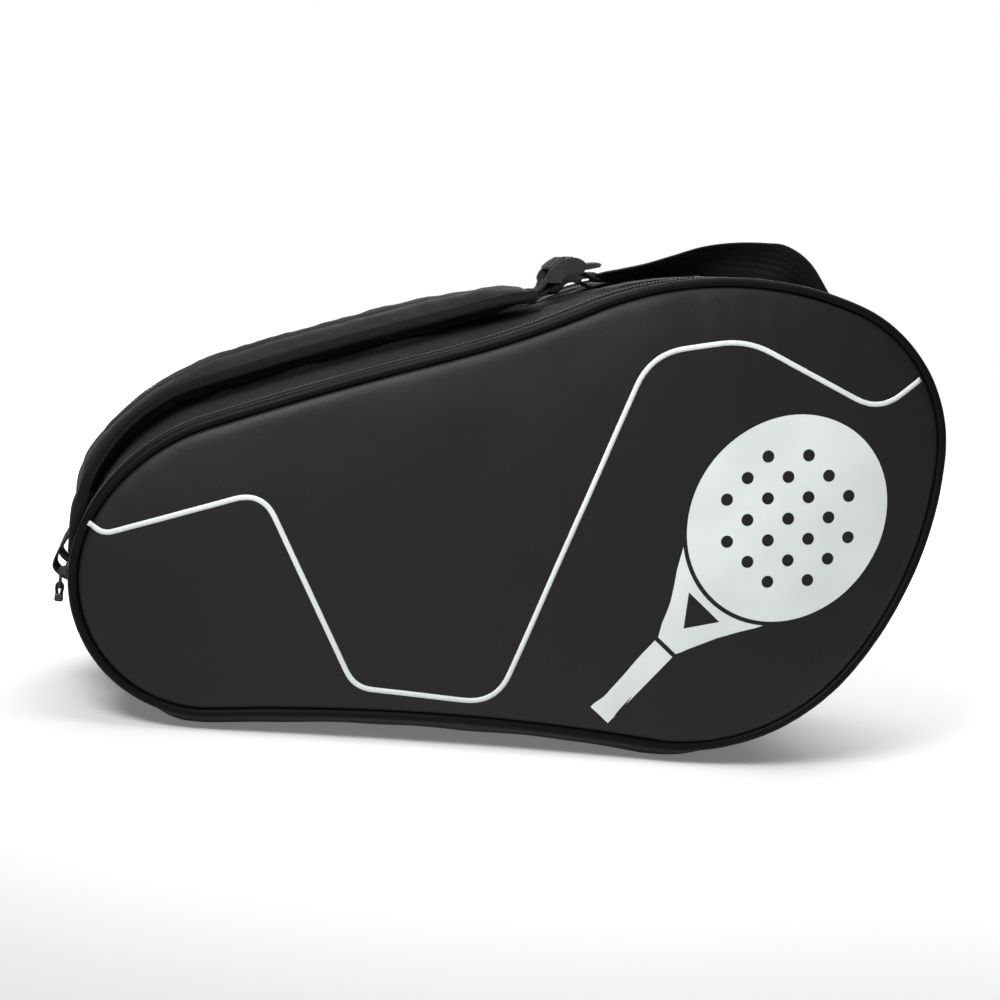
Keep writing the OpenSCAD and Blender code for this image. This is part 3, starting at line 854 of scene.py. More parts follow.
def film(build, border, holes=()):
    """Adds a patch of print film over a closed border with holes, laid on the skin."""
    low, high = border.min(0), border.max(0)
    x, z = np.meshgrid(*(np.arange(low[k], high[k], FILM_PITCH) for k in (0, 1)))
    grid = np.stack([x.ravel(), z.ravel()], -1)
    keep = within(grid, border, 1.5)
    for hole in holes:
        keep &= ~within(grid, hole, -1.5)
    verts, faces = filled([border, *holes], grid[keep])
    build.add(on_panel(verts), faces)


def arc(radius, start, stop, steps, stretch=1.0, origin=(0, 0)):
    a = np.radians(np.linspace(start, stop, steps))
    return np.column_stack([stretch * radius * np.cos(a), radius * np.sin(a)]) + np.asarray(origin, float)


def front_print():
    """Plain racket: a round head with holes, a throat with a gap in it, and a grip."""
    build = Build()

    def place(points):
        return turned(points, RACKET_TILT, RACKET)

    holes = [
        place(arc(HOLE_R, 0, 337.5, 16, origin=(i * HOLE_PITCH, j * HOLE_PITCH)))
        for i in range(-2, 3)
        for j in range(-2, 3)
        if math.hypot(i, j) < 2.5
    ]
    film(build, place(arc(RACKET_R, 0, 356, 90, RACKET_STRETCH)), holes)
    w = GRIP_W / 2
    edge = arc(RACKET_R * 1.04, 215, 145, 22, RACKET_STRETCH)
    film(build, place(np.vstack([edge, [(THROAT_END, w), (THROAT_END, -w)]])), [place(THROAT_GAP)])
    a, b = GRIP_START, GRIP_START - GRIP_L
    film(build, place([(a, w), (b, w), (b, -w), (a, -w)]))
    piece(build, "racket_print", FILM, "front_cover", ["front_print"])


# ---- Gussets ----

# The fabric's own slackness, in mm
SLACK = 0.55
LOWER_SLACK = 1.1
PATCH_HEM = 2.2


def slack(u, y, seed, scale=42):
    return waves(np.stack([u * SEAM.length, y, 0 * y], -1), scale, seed)


def strip_of_cloth(obj, rings, held, *rests_on):
    """Works out the flat width and length of a piece swept through rings, and does nothing with them."""
    length = np.linalg.norm(np.diff(rings.mean(1), axis=0), axis=1).sum()
    ring = rings[len(rings) // 2]
    width = np.linalg.norm(ring - np.roll(ring, 1, 0), axis=1).sum() / 2


def shell(name, span, ys, out, material, body, nodes, seed, grounded=False, amount=SLACK):
    """Closed sheet of fabric over a span of shares, with its outer face at out(u, y) and a soft slack."""
    us = np.linspace(*span, int((span[1] - span[0]) * SEAM.length / STEP) + 2)
    u, y = np.meshgrid(us, ys, indexing="ij")
    outer = out(u, y) + amount * slack(u, y, seed)
    rings = outline_rings(us, ys, outer, outer - GUSSET_T)
    if grounded:
        rings[..., 2] = np.maximum(rings[..., 2], 0)
    obj = piece(Build().rings(rings), name, material, body, nodes)
    strip_of_cloth(obj, rings, "stretched")
    return obj


def gussets():
    """Spine, head, heel and lower gussets, with the folds that join the covers and the stitches."""
    ys = np.linspace(-SPINE_Y, SPINE_Y, 31)
    hem = share(1.0)
    shell("spine", (HEAD_TOP - hem, SPINE_END), ys, spine_out, MESH, "bag", ["spine_panel"], 4)
    head, heel = (ZIP_START, HEAD_TOP), (SPINE_END - hem, ZIP_END + hem)
    shell("head_gusset_cloth", head, ys, level_out, GUSSET, "bag", ["head_gusset"], 8, amount=0.9)
    shell("heel_gusset_cloth", heel, ys, level_out, GUSSET, "bag", [], 6)
    lower = (ZIP_END + hem / 2, 1 + ZIP_START - hem / 2)
    kind = (["lower_gusset"], 12, True, LOWER_SLACK)
    middle = np.linspace(-ZIP_Y, ZIP_Y, 27)
    shell("lower_gusset_middle", lower, middle, lower_out, GUSSET, "bag", *kind)
    for side, s in SIDES.items():
        edge = np.linspace(s * ZIP_Y, s * (PANEL_IN - PIPING / 4), 9)[::s]
        fold = shell(f"{side}_lower_gusset", lower, edge, lower_out, GUSSET, None, *kind)
        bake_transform(fold)
        for row in (SPINE_Y - 2.5, SPINE_Y - 6):
            line = seam_line(HEAD_TOP, SPINE_END, s * row, lambda u: spine_out(u, row) + 0.3)
            stitched(f"{side}_spine_stitches_{int(row)}", line, "bag")
        line = seam_line(*head, s * (SPINE_Y - 2.5), GUSSET_OUT + 0.4)
        stitched(f"{side}_head_stitches", line, "bag")
        line = seam_line(*lower, s * (ZIP_Y - 2), lambda u: lower_out(u, ZIP_Y - 2) + 0.3)
        stitched(f"{side}_lower_stitches", line, "bag")


def patch(name, a, b, depths, lift, thickness, nodes=(), cross=False):
    """Fabric patch sewn on the gusset from share a to b, with soft edges and a stitched border."""
    y0, y1 = sorted(depths)
    us = np.linspace(a, b, max(6, int((b - a) * SEAM.length / 1.2)))
    ys = np.linspace(y0, y1, max(6, int((y1 - y0) / 1.6)))
    u, y = np.meshgrid(us, ys, indexing="ij")
    edge = np.minimum(np.minimum(u - a, b - u) * SEAM.length, np.minimum(y - y0, y1 - y))
    low = GUSSET_OUT + lift
    top = low + thickness * (0.45 + 0.55 * smooth(0, 1.6, edge)) + 0.12 * slack(u, y, 3, 12)
    piece(Build().rings(outline_rings(us, ys, top, low)), name, GUSSET, "bag", nodes)
    height = low + thickness + 0.1
    a, b, y0, y1 = a + share(PATCH_HEM), b - share(PATCH_HEM), y0 + PATCH_HEM, y1 - PATCH_HEM
    lines = [seam_line(a, b, row, height) for row in (y0, y1)]
    lines += [seam_points(np.full(30, end), np.linspace(y0, y1, 30), height) for end in (a, b)]
    if cross:
        t = np.linspace(0, 1, 40)
        lines += [seam_points(a + t * (b - a), y0 + k * (y1 - y0), height) for k in (t, 1 - t)]
    stitches = Build()
    for line in lines:
        add_stitches(stitches, line, 3.0)
    piece(stitches, f"{name}_stitches", THREAD, "bag")


def zip_end_tabs(side, s):
    depths = (s * (SPINE_Y + 0.4), s * (ZIP_Y + TAPE_W))
    tab = share(TAB_L)
    patch(f"{side}_zip_tab_head", ZIP_START - tab, ZIP_START, depths, 1.0, 1.1, [f"{side}_zip_ends"])
    patch(f"{side}_zip_tab_heel", ZIP_END, ZIP_END + tab, depths, 1.0, 1.1)


# ---- Shoulder straps ----

PAD_TAPER = 0.02
# The pad starts smaller than it ends up, because the cloth swells
PAD_SHRINK = 2.4
PUFF_VOXEL = 4.5
PUFF_PRESSURE = 4.0
PUFF_FRAMES = 20
PUFF_CAP = 6
CHANNEL_IN = 7.5
BINDING_T = 2.6
BINDING_H = 7.4
BINDING_CORNER = 9.0
BINDING_INSET = 0.2


def pad_shape(u, side):
    """Half width, thickness and base offset of a pad at share u, thinner towards its ends."""
    end = PAD_END[side]
    fade = smooth(0, PAD_TAPER, u - end) * smooth(0, PAD_TAPER, PAD_HEEL - u)
    return STRAP_W / 2 * (0.8 + 0.2 * fade), STRAP_T * (0.55 + 0.45 * fade), strap_base(u, side)


def pad_rings(side, s):
    """Rings of a pad's closed, rounded form before it swells."""
    us = np.linspace(PAD_END[side] + share(1), PAD_HEEL - share(1), 110)
    half, thick, base = pad_shape(us, side)
    angles = np.radians(np.linspace(0, 360, 36, endpoint=False))
    rings = []
    c, n = np.cos(angles), np.sin(angles)
    for u, w, t, b in zip(us, half - PAD_SHRINK, thick - PAD_SHRINK, base + PAD_SHRINK / 2):
        y = s * STRAP_Y + w * np.sign(c) * np.abs(c) ** 0.45
        rings.append(in_space(SEAM.spot(u, b + t / 2 + t / 2 * np.sign(n) * np.abs(n) ** 0.7), y))
    return np.array(rings)


def puffed(obj):
    """Remeshes a closed shape and blows it up as cloth, moving no point further than the cap."""
    scene = bpy.context.scene
    remesh = obj.modifiers.new("Remesh", "REMESH")
    remesh.mode, remesh.voxel_size = "VOXEL", PUFF_VOXEL * MM
    settled(obj)
    count = len(obj.data.vertices)
    before = np.empty(count * 3)
    obj.data.vertices.foreach_get("co", before)
    cloth = obj.modifiers.new("Cloth", "CLOTH")
    cloth.settings.quality = 6
    cloth.settings.mass = 0.25
    cloth.settings.use_pressure = True
    cloth.settings.uniform_pressure_force = PUFF_PRESSURE
    cloth.settings.effector_weights.gravity = 0
    for number in range(1, PUFF_FRAMES + 1):
        scene.frame_set(number)
    after = np.empty(count * 3)
    moved = obj.evaluated_get(bpy.context.evaluated_depsgraph_get())
    moved.data.vertices.foreach_get("co", after)
    obj.modifiers.remove(cloth)
    scene.frame_set(1)
    step = (after - before).reshape(-1, 3)
    step -= step.mean(0)
    size = np.linalg.norm(step, axis=1)[:, None]
    step *= np.minimum(1, PUFF_CAP * MM / np.maximum(size, 1e-9))
    obj.data.vertices.foreach_set("co", (before.reshape(-1, 3) + step).ravel())
    smoothing = obj.modifiers.new("Subdivision", "SUBSURF")
    smoothing.levels = smoothing.render_levels = 1
    settled(obj)


def settled(obj):
    """Applies an object's modifiers to its mesh."""
    graph = bpy.context.evaluated_depsgraph_get()
    graph.update()
    mesh = bpy.data.meshes.new_from_object(obj.evaluated_get(graph))
    obj.modifiers.clear()
    old, obj.data = obj.data, mesh
    bpy.data.meshes.remove(old)


def outline_place(x, z):
    """Share and offset of (x, z) points near the top of the bag."""
    us = np.linspace(ANCHOR, ZIP_END, 3000)
    p, out = SEAM.spot(us), SEAM.outward(us)
    gap = np.stack([x, z], -1)[:, None] - p
    aside = np.abs(gap[..., 0] * -out[:, 1] + gap[..., 1] * out[:, 0])
    aside = np.where((gap * out).sum(2) > -5, aside, 1e3)
    best = aside.argmin(1)
    rows = np.arange(len(best))
    return us[best], (gap[rows, best] * out[best]).sum(1)


def strap_pad(side, s):
    """Padded strap with two sewn channels, wrinkles across it and a bound edge."""
    obj = Build().rings(pad_rings(side, s)).make(f"{side}_pad", PAD)
    puffed(obj)
    mesh = obj.data
    mesh.materials.clear()
    mesh.materials.append(PAD)
    count = len(mesh.vertices)
    co = np.empty(count * 3)
    mesh.vertices.foreach_get("co", co)
    co = co.reshape(-1, 3) / MM
    u, d = outline_place(co[:, 0], co[:, 2])
    half, thick, base = pad_shape(u, side)
    across = co[:, 1] - s * STRAP_Y
    # Sewn channels run inside both edges, and the cover wrinkles across the pad
    top = smooth(0.45, 0.75, (d - base) / thick)
    channel = np.exp(-(((np.abs(across) - half + CHANNEL_IN) / 1.8) ** 2))
    along = u * SEAM.length
    bends = waves(np.column_stack([along, across * 0.5, 0 * u]), 26, 5.0 * s)
    creases = -np.abs(waves(np.column_stack([along + 0.3 * across, across * 0.4, 0 * u]), 15, 9.0 * s))
    lift = -1.5 * channel * top + 0.9 * bends + 1.3 * creases * smooth(0, 6, half - np.abs(across))
    # The underside stays clear of the spine
    floor = np.maximum(0, spine_out(u, co[:, 1]) + 0.9 - (d + np.minimum(lift, 0)))
    move = (lift * top + floor)[:, None] * in_space(SEAM.outward(u), 0)
    mesh.vertices.foreach_set("co", ((co + move) * MM).ravel())
    layer = mesh.uv_layers.get("Cloth") or mesh.uv_layers.new(name="Cloth")
    index = np.empty(len(mesh.loops), int)
    mesh.loops.foreach_get("vertex_index", index)
    flat = np.column_stack([along, across]) * MM
    layer.data.foreach_set("uv", flat[index].astype(np.float32).ravel())
    mesh.polygons.foreach_set("use_smooth", [True] * len(mesh.polygons))
    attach(obj, f"{side}_strap")
    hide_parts(f"{side}_strap_pad")
    pad_binding(side, s)
    for edge in (-1, 1):
        row = s * STRAP_Y + edge * (STRAP_W / 2 - CHANNEL_IN)
        a, b = PAD_END[side] + share(9), PAD_HEEL - share(9)
        line = seam_line(a, b, row, lambda u: sum(pad_shape(u, side)[1:]) - 1.0)
        stitched(f"{side}_pad_stitches_{'inner' if edge * s < 0 else 'outer'}", line, f"{side}_strap", 3.2)


def pad_binding(side, s):
    """Ribbed tape bound round the pad's edge."""
    us = np.linspace(PAD_END[side] + share(0.8), PAD_HEEL - share(0.8), 160)
    half = pad_shape(us, side)[0] - BINDING_INSET
    a, b = us[0], us[-1]
    near = BINDING_CORNER - np.minimum(us - a, b - us) * SEAM.length
    edge = half - (BINDING_CORNER - np.sqrt(np.maximum(0, BINDING_CORNER**2 - np.maximum(0, near) ** 2)))
    span = np.linspace(1, -1, 14)[1:-1]
    loop_u = np.concatenate([us, np.full(len(span), b), us[::-1], np.full(len(span), a)])
    loop_y = np.concatenate([edge, edge[-1] * span, -edge[::-1], -edge[0] * span])
    _, thick, base = pad_shape(loop_u, side)
    points, ups = evened(*seam_points(loop_u, s * STRAP_Y + loop_y, base + thick / 2), 2.2)
    sides = unit(np.cross(np.roll(points, -2, 0) - np.roll(points, 2, 0), ups))
    rings = swept(points, sides, ups, section(BINDING_T, 1.0, 0.45) * (1, BINDING_H))
    piece(Build().rings(rings, loop=True), f"{side}_pad_binding", BINDING, f"{side}_strap")


def evened(points, ups, pitch):
    """A closed line and its ups at an even pitch."""
    travel = travelled(closed(points))
    at = np.linspace(0, travel[-1], int(travel[-1] / pitch), endpoint=False)
    return resampled(closed(points), travel, at), unit(resampled(closed(ups), travel, at))


# ---- Webbing ----

# Stations of the webbing's middle line, as (share, depth, offset, tilt in degrees)
FRONT_RUN = (
    (0.2986, 25, 8, 6), (0.304, 25, 11, 18), (0.3129, 26, 17, 42), (0.320, 27, 20, 58),
    (0.3271, 28, 21.5, 65), (0.334, 28, 20.8, 60), (0.3407, 29, 20, 56), (0.352, 29, 18.4, 50),
    (0.3635, 30, 16.6, 42), (0.3764, 30, 14, 30), (0.3892, 30, 12.4, 22), (0.4005, 30, 13, 18),
    (0.4080, 30, 14.8, 14), (0.4132, 30, 16.4, 9),
)
HEEL_SEWN = 0.7115
# Patches over the webbing's sewn ends, as (length, inner depth, outer depth)
ANCHOR_PATCH = (24, 8, 46)
HEEL_PATCH = (16, 13, 47)
# Fabric round the pad's heel: its reach before and past the pad's end, then its half width,
# underside and thickness where it starts and where it ends
HEEL_TAB_REACH = (16, 24)
HEEL_TAB_HALF = (23, 17)
HEEL_TAB_LOW = (6.4, 8.0)
HEEL_TAB_T = (11, 3)
REAR_RUN = tuple((ANCHOR + (0.4085 - ANCHOR) * i / 9, 30, GUSSET_OUT + 2.2, 0) for i in range(10))
# The webbing leaves the pad's heel, stands up as a bow and comes down to its patch
HEEL_RUN = (
    (0.6806, 30, 9.5, 0), (0.687, 30, 10, 0), (0.695, 30, 15, 0), (0.7, 30, 18.5, 0),
    (0.7035, 30, 19, 0), (0.707, 30, 14, 0), (0.709, 30, 9, 0), (0.711, 30, 7, 0), (0.72, 30, 6.6, 0),
)


def webbing_rings(run, s, cup=0.0):
    """Rings of a flat band along a run, cupped across its width by up to cup."""
    u, y, d, tilt = curve_through(run, 8).T
    tilt = np.radians(tilt)[:, None]
    middle, out = seam_points(u, s * y, d)
    aside = np.tile([0, s, 0], (len(u), 1))
    side = np.cos(tilt) * aside + np.sin(tilt) * out
    face = np.cos(tilt) * out - np.sin(tilt) * aside
    half, t = WEBBING_W / 2, WEBBING_T / 2
    columns = np.linspace(-1, 1, 9) * (half - 1)
    low, high = (np.column_stack([x, np.full(9, z)]) for x, z in ((columns, -t), (columns[::-1], t)))
    shape = np.vstack([low, [[half, -0.3], [half, 0.3]], high, [[-half, 0.3], [-half, -0.3]]])
    bend = cup * np.sin(np.pi * np.linspace(0, 1, len(u)))
    shapes = np.repeat(shape[None], len(u), 0)
    shapes[..., 1] += bend[:, None] * (1 - (shape[None, :, 0] / half) ** 2)
    return swept(middle, side, face, shapes)


def heel_tab(side, s):
    """Folded fabric that closes the pad's heel round the webbing and tapers on to it."""
    us = np.linspace(PAD_HEEL - share(HEEL_TAB_REACH[0]), PAD_HEEL + share(HEEL_TAB_REACH[1]), 26)
    t = (us - us[0]) / (us[-1] - us[0])
    half = mix(HEEL_TAB_HALF, smooth(0.3, 1, t))
    low = mix(HEEL_TAB_LOW, smooth(0.4, 1, t))
    high = low + mix(HEEL_TAB_T, smooth(0.15, 1, t))
    across, up = section(2, 2, 0.45).T
    rings = [
        in_space(SEAM.spot(u, (a + b) / 2 + up * (b - a) / 2), s * STRAP_Y + w * across)
        for u, w, a, b in zip(us, half, low, high)
    ]
    piece(Build().rings(rings), f"{side}_heel_tab", GUSSET, "bag")


def webbings():
    """Webbing from the head to the buckle, the bow at the heel, and what sews them down."""
    for side, run, cup, held in (("front", FRONT_RUN, 2.4, "hung"), ("rear", REAR_RUN, 0, "laid")):
        s = SIDES[side]
        rings = webbing_rings(run, s, cup)
        obj = piece(Build().rings(rings), f"{side}_webbing_band", WEB, None, [f"{side}_webbing"])
        strip_of_cloth(obj, rings, held, f"{side}_anchor_patch", f"{side}_ladder_lock")
        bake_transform(obj)
        rings = webbing_rings(HEEL_RUN, s)
        bow = piece(Build().rings(rings), f"{side}_heel_bow", WEB, "bag", [f"{side}_heel_webbing"])
        strip_of_cloth(bow, rings, "folded", f"{side}_heel_tab", f"{side}_heel_patch")
        nodes = ["anchor_patches"] if side == "front" else []
        length, y0, y1 = ANCHOR_PATCH
        span = (ANCHOR - share(length), ANCHOR)
        patch(f"{side}_anchor_patch", *span, (s * y0, s * y1), 0.3, 3.4, nodes, True)
        heel_tab(side, s)
        length, y0, y1 = HEEL_PATCH
        span = (HEEL_SEWN, HEEL_SEWN + share(length))
        patch(f"{side}_heel_patch", *span, (s * y0, s * y1), 0.8, 2.4)


# ---- Buckles ----

BUCKLE_W = 38
PLATE_T = 4
FOOT = (15.7, 4.5)
FOOT_GAP = 9.3
FOOT_HEIGHT = {"front": 0.55, "rear": 0.15}
# (x, z) from the middle of the plates: where the pad's tab, the webbing and the far end go round
BARS = ((-11.2, -0.6), (-1.5, 10.5), (4.4, 9.4))
BAR_R = 1.8
LOCK_BAR = (-2.6, 14.9)
# Crescent plate: its back from the foot over to the far end, then the hollow under it
PLATE_BACK = (
    (-18.2, -3.0), (-19.3, 0.6), (-17.1, 5.9), (-12.7, 10.6), (-7.5, 14.6),
    (-1.2, 16.2), (4.8, 14.8), (7.7, 11.1), (6.2, 6.6),
)
PLATE_HOLLOW = ((4.4, 5.2), (0.2, 5.6), (-3.6, 4.4), (-6.6, 1.2), (-8.3, -2.2))
GRIP = ((-17.6, 7.6), (-13.4, 11.8), (-7.9, 15.8))
GRIP_T = 2.4
GRIP_RIDGE = 0.6
TONGUE_RIDGES = ((12.2, 13.6), (14.4, 14.0), (16.6, 14.4))
TONGUE = ((3.0, 12.6), (10.5, 13.2), (17.8, 14.6), (19.4, 13.6), (18.4, 11.6), (10.0, 9.0), (3.0, 9.4))
# Where the webbing runs inside the buckle
THREADING = (
    (19.0, 3.2), (15.0, 4.4), (9.5, 6.0), (4.2, 7.2), (0.4, 7.4), (-3.4, 7.8),
    (-4.3, 10.6), (-2.4, 12.9), (1.2, 12.4), (6.8, 12.2),
)
# The pad's tab: (along, up) in mm from the pad's end under and over it, and degrees round the near bar
TAB_UNDER = ((6.0, 2.6), (1.0, 2.2), (-3.0, 2.0), (-6.5, 2.4))
TAB_ROUND = (-100, -45, 15, 80, 130)
TAB_R = 2.9
TAB_OVER = ((-2.0, 5.2), (4.0, 5.8), (14.0, 8.6))


def prism(build, outline, y0, y1):
    """Adds a plate with the given (x, z) outline from y0 to y1."""
    outline = np.asarray(outline, float)
    n = len(outline)
    i = np.arange(n)
    j = (i + 1) % n
    base = build.count
    both = np.vstack([in_space(outline, y0), in_space(outline, y1)])
    build.add(both, np.stack([i, i + n, j + n, j], -1))
    for cap in (i, (i + n)[::-1]):
        build.faces.append(cap[None] + base)
        build.maps.append(np.zeros((1, n, 2)))


def buckle_foot(side):
    end = PAD_END[side]
    up = float(strap_base(end, side)) + FOOT_HEIGHT[side] * STRAP_T
    return SEAM.spot(end - share(FOOT_GAP), up)


def softened(obj, width):
    """Rounds an object's edges and shades it by the angles between its faces."""
    bevel = obj.modifiers.new("Bevel", "BEVEL")
    bevel.width, bevel.segments = width * MM, 2
    bevel.limit_method, bevel.angle_limit = "ANGLE", math.radians(35)
    bevel.harden_normals = False
    shade_by_angle(obj)


def shade_by_angle(obj, angle=38):
    """Smooth shading with sharp edges where faces meet at more than an angle."""
    mesh = obj.data
    mesh.polygons.foreach_set("use_smooth", [True] * len(mesh.polygons))
    mesh.set_sharp_from_angle(angle=math.radians(angle))


def rod(build, a, b, radius, sides=20):
    """Adds a round bar from a to b with softened ends."""
    a, b = np.asarray(a, float), np.asarray(b, float)
    ahead = (b - a) / np.linalg.norm(b - a)
    side = np.cross(ahead, [0.31, 0.2, 0.93])
    side /= np.linalg.norm(side)
    up = np.cross(ahead, side)
    angles = np.linspace(0, 2 * np.pi, sides, endpoint=False)
    circle = np.cos(angles)[:, None] * side + np.sin(angles)[:, None] * up
    length = np.linalg.norm(b - a)
    stops = ((0, 0.8), (0.3, 1), (length - 0.3, 1), (length, 0.8))
    build.rings([a + ahead * d + circle * radius * k for d, k in stops])


def buckle(side, s):
    """Ladder lock: two crescent plates, bars between them, a ribbed grip and a thumb tongue."""
    x, z = buckle_foot(side) + np.array(FOOT)
    inside = BUCKLE_W / 2 - PLATE_T
    build = Build()
    plate = np.vstack([curve_through(PLATE_BACK, 5), curve_through(PLATE_HOLLOW, 5)])
    for y in (-BUCKLE_W / 2, BUCKLE_W / 2 - PLATE_T):
        prism(build, plate, y, y + PLATE_T)
    for bx, bz in (*BARS, LOCK_BAR):
        rod(build, (bx, -inside - 0.5, bz), (bx, inside + 0.5, bz), BAR_R)
    back = curve_through(GRIP, 6)
    ahead = unit(np.gradient(back, axis=0))
    inner = back + GRIP_T * np.column_stack([ahead[:, 1], -ahead[:, 0]])
    prism(build, np.vstack([back, inner[::-1]]), -inside - 0.4, inside + 0.4)
    for a, b in back[1:-1]:
        rod(build, (a, -inside + 1, b), (a, inside - 1, b), GRIP_RIDGE, 10)
    prism(build, TONGUE[::-1], -inside + 3, inside - 3)
    for a, b in TONGUE_RIDGES:
        rod(build, (a, -inside + 5, b), (a, inside - 5, b), 0.45, 8)
    build.verts = [v + np.array([x, s * STRAP_Y, z]) for v in build.verts]
    obj = piece(build, f"{side}_ladder_lock", PLASTIC, f"{side}_strap_buckle", [f"{side}_buckle"], soft=False)
    softened(obj, 0.5)
    threaded_webbing(side, s, x, z)
    buckle_tab(side, s, x, z)


def flat_band(knots, y, width, thickness):
    """Rings of a band whose middle line runs through (x, z) knots at one depth."""
    points = in_space(curve_through(knots, 6), y)
    ahead = unit(np.gradient(points, axis=0))
    side = np.tile([0.0, 1.0, 0.0], (len(points), 1))
    return swept(points, side, np.cross(ahead, side), section(width, thickness, thickness * 0.42))


def threaded_webbing(side, s, x, z):
    """The webbing inside the buckle, under the far bar and back over the middle one."""
    band = flat_band(np.array(THREADING) + (x, z), s * STRAP_Y, WEBBING_W - 2.5, 1.5)
    body, nodes = f"{side}_strap_buckle", [f"{side}_webbing_tail"]
    piece(Build().rings(band), f"{side}_threaded_webbing", WEB, body, nodes)


def buckle_tab(side, s, x, z):
    """The pad's tab, which goes round the near bar and back."""

    def by_the_pad(places):
        along, up = np.array(places).T
        return SEAM.spot(PAD_END[side] + share(along), float(strap_base(PAD_END[side], side)) + up)

    turns = np.radians(TAB_ROUND)
    around = np.array([x, z]) + BARS[0] + TAB_R * np.column_stack([np.cos(turns), np.sin(turns)])
    knots = np.vstack([by_the_pad(TAB_UNDER), around, by_the_pad(TAB_OVER)])
    tab = flat_band(knots, s * STRAP_Y, WEBBING_W - 4, 1.6)
    piece(Build().rings(tab), f"{side}_buckle_tab", WEB, f"{side}_strap", [f"{side}_strap_tab"])


# ---- Sliders and pullers ----

SLIDER_D = GUSSET_OUT + 2.6
PIN_H = 5.4
PIN_R = 1.15
# Half outline of the slider's plates, then each plate's bottom, top and share of that outline
SLIDER_HALF = ((-6, 2.2), (-5.2, 3.7), (-2.5, 4.4), (1.5, 4.0), (4.2, 2.9), (5.8, 2.4), (6.2, 1.2))
SLIDER_PLATES = ((0, 1.5, 1.0), (1.3, 2.4, 0.82))
BRIDGE = ((-2.6, 1.8), (2.6, 1.8), (2.2, 5.2), (1.3, 6.8), (0, 7.3), (-1.3, 6.8), (-2.2, 5.2))
BRIDGE_Y = 3.7
PULLER_L = 12
PULLER_T = 1.8
PULLER_TIP = ((7, 1.9), (4, 2.4), (0.6, 2.1), (0, 1.2))
EYE_R = 2.5
EYE_HOLE_R = 1.28
SLOT_AT = PULLER_L - 3
SLOT_HALF = (1.4, 1.3)
CORD_R = 1.05
CORD_END = 18


def slider_axes(s):
    """Frame at the slider: x runs back along the outline, z points outward."""
    h = float(SEAM.heading(SLIDER_AT))
    back, out = Vector((-math.cos(h), 0, -math.sin(h))), Vector((math.sin(h), 0, -math.cos(h)))
    turn = Matrix((back, Vector((0, 1, 0)), out)).transposed().to_4x4()
    x, z = SEAM.spot(SLIDER_AT, SLIDER_D)
    return Matrix.Translation(Vector((x, s * ZIP_Y, z))) @ turn


def placed(build, matrix):
    """Moves everything collected so far by a matrix in mm."""
    m = np.array(matrix)
    build.verts = [v @ m[:3, :3].T + m[:3, 3] for v in build.verts]
    return build


def slider(side, s):
    """Slider of a coil zip: a waisted top plate, a bridge for the puller and the pin in it."""
    build = Build()
    waist = np.array([*SLIDER_HALF, *[(x, -y) for x, y in SLIDER_HALF[::-1]]])
    for z0, z1, k in SLIDER_PLATES:
        levels = ((z0, 0.94), (z0 + 0.3, 1), (z1 - 0.35, 1), (z1, 0.9))
        build.rings([np.column_stack([waist * k * shrink, np.full(len(waist), z)]) for z, shrink in levels])
    for y in (-BRIDGE_Y, BRIDGE_Y):
        prism(build, BRIDGE, y - 0.7, y + 0.7)
    rod(build, (0, -BRIDGE_Y - 0.5, PIN_H), (0, BRIDGE_Y + 0.5, PIN_H), PIN_R, 16)
    placed(build, slider_axes(s))
    body, nodes = f"{side}_zip_slider", [f"{side}_slider"]
    softened(piece(build, f"{side}_zip_slider_body", PLASTIC, body, nodes, soft=False), 0.25)


def mirrored(half):
    return [(a, -b) for a, b in half[::-1]]


def puller(side, s):
    """Puller on the slider's pin, with a looped cord and a moulded grip."""
    x, z = SEAM.spot(SLIDER_AT, SLIDER_D + PIN_H)
    # Local x hangs straight down and local z points away from the bag's middle, at -X
    axes = Matrix(((0, 0, -1), (0, 1, 0), (-1, 0, 0))).to_4x4()
    at = Matrix.Translation(Vector((x, s * ZIP_Y, z))) @ axes
    body = f"{side}_zip_puller"
    tag = Build()
    tip = [(PULLER_L - a, b) for a, b in PULLER_TIP]
    ring = np.vstack([arc(EYE_R, 60, 300, 20), mirrored(tip[::-1]), tip[::-1]])
    a, b = SLOT_HALF
    slot = np.array([(-a, -b), (a, -b), (a, b), (-a, b)]) + (SLOT_AT, 0)
    tag_plate(tag, ring, [arc(EYE_HOLE_R, 0, 340, 18), slot], PULLER_T)
    softened(piece(placed(tag, at), f"{side}_puller_tag", PLASTIC, body, [f"{side}_puller"], soft=False), 0.3)
    half = [(CORD_END, 1.15), (CORD_END - 4, 1.6), (SLOT_AT + 2.5, 1.9), (SLOT_AT + 0.4, 1.5)]
    knots = [*half, (SLOT_AT - 0.6, 0), *mirrored(half)]
    line = curve_through([(a, 0, b) for a, b in knots], 8)
    cord = Build().rings(swept(line, *frames(line, (0, 1, 0.02)), circle(CORD_R, 10)))
    piece(placed(cord, at), f"{side}_puller_cord", WEB, body, [f"{side}_pull_cord"])
    grip = Build()
    stops = ((-2.5, 0.72), (-2, 0.95), (-1, 1.0), (1, 1.05), (2, 1.0), (2.6, 0.75))
    shapes = [(CORD_END + a, section(3.4 * k, 5.4 * k, 1.2 * k)) for a, k in stops]
    grip.rings([np.column_stack([np.full(len(shape), a), shape]) for a, shape in shapes])
    for a in (-1, 0.2, 1.4):
        for y in (-1.75, 1.75):
            rod(grip, (CORD_END + a, y, -2.1), (CORD_END + a, y, 2.1), 0.3, 8)
    shade_by_angle(piece(placed(grip, at), f"{side}_puller_grip", PLASTIC, body))


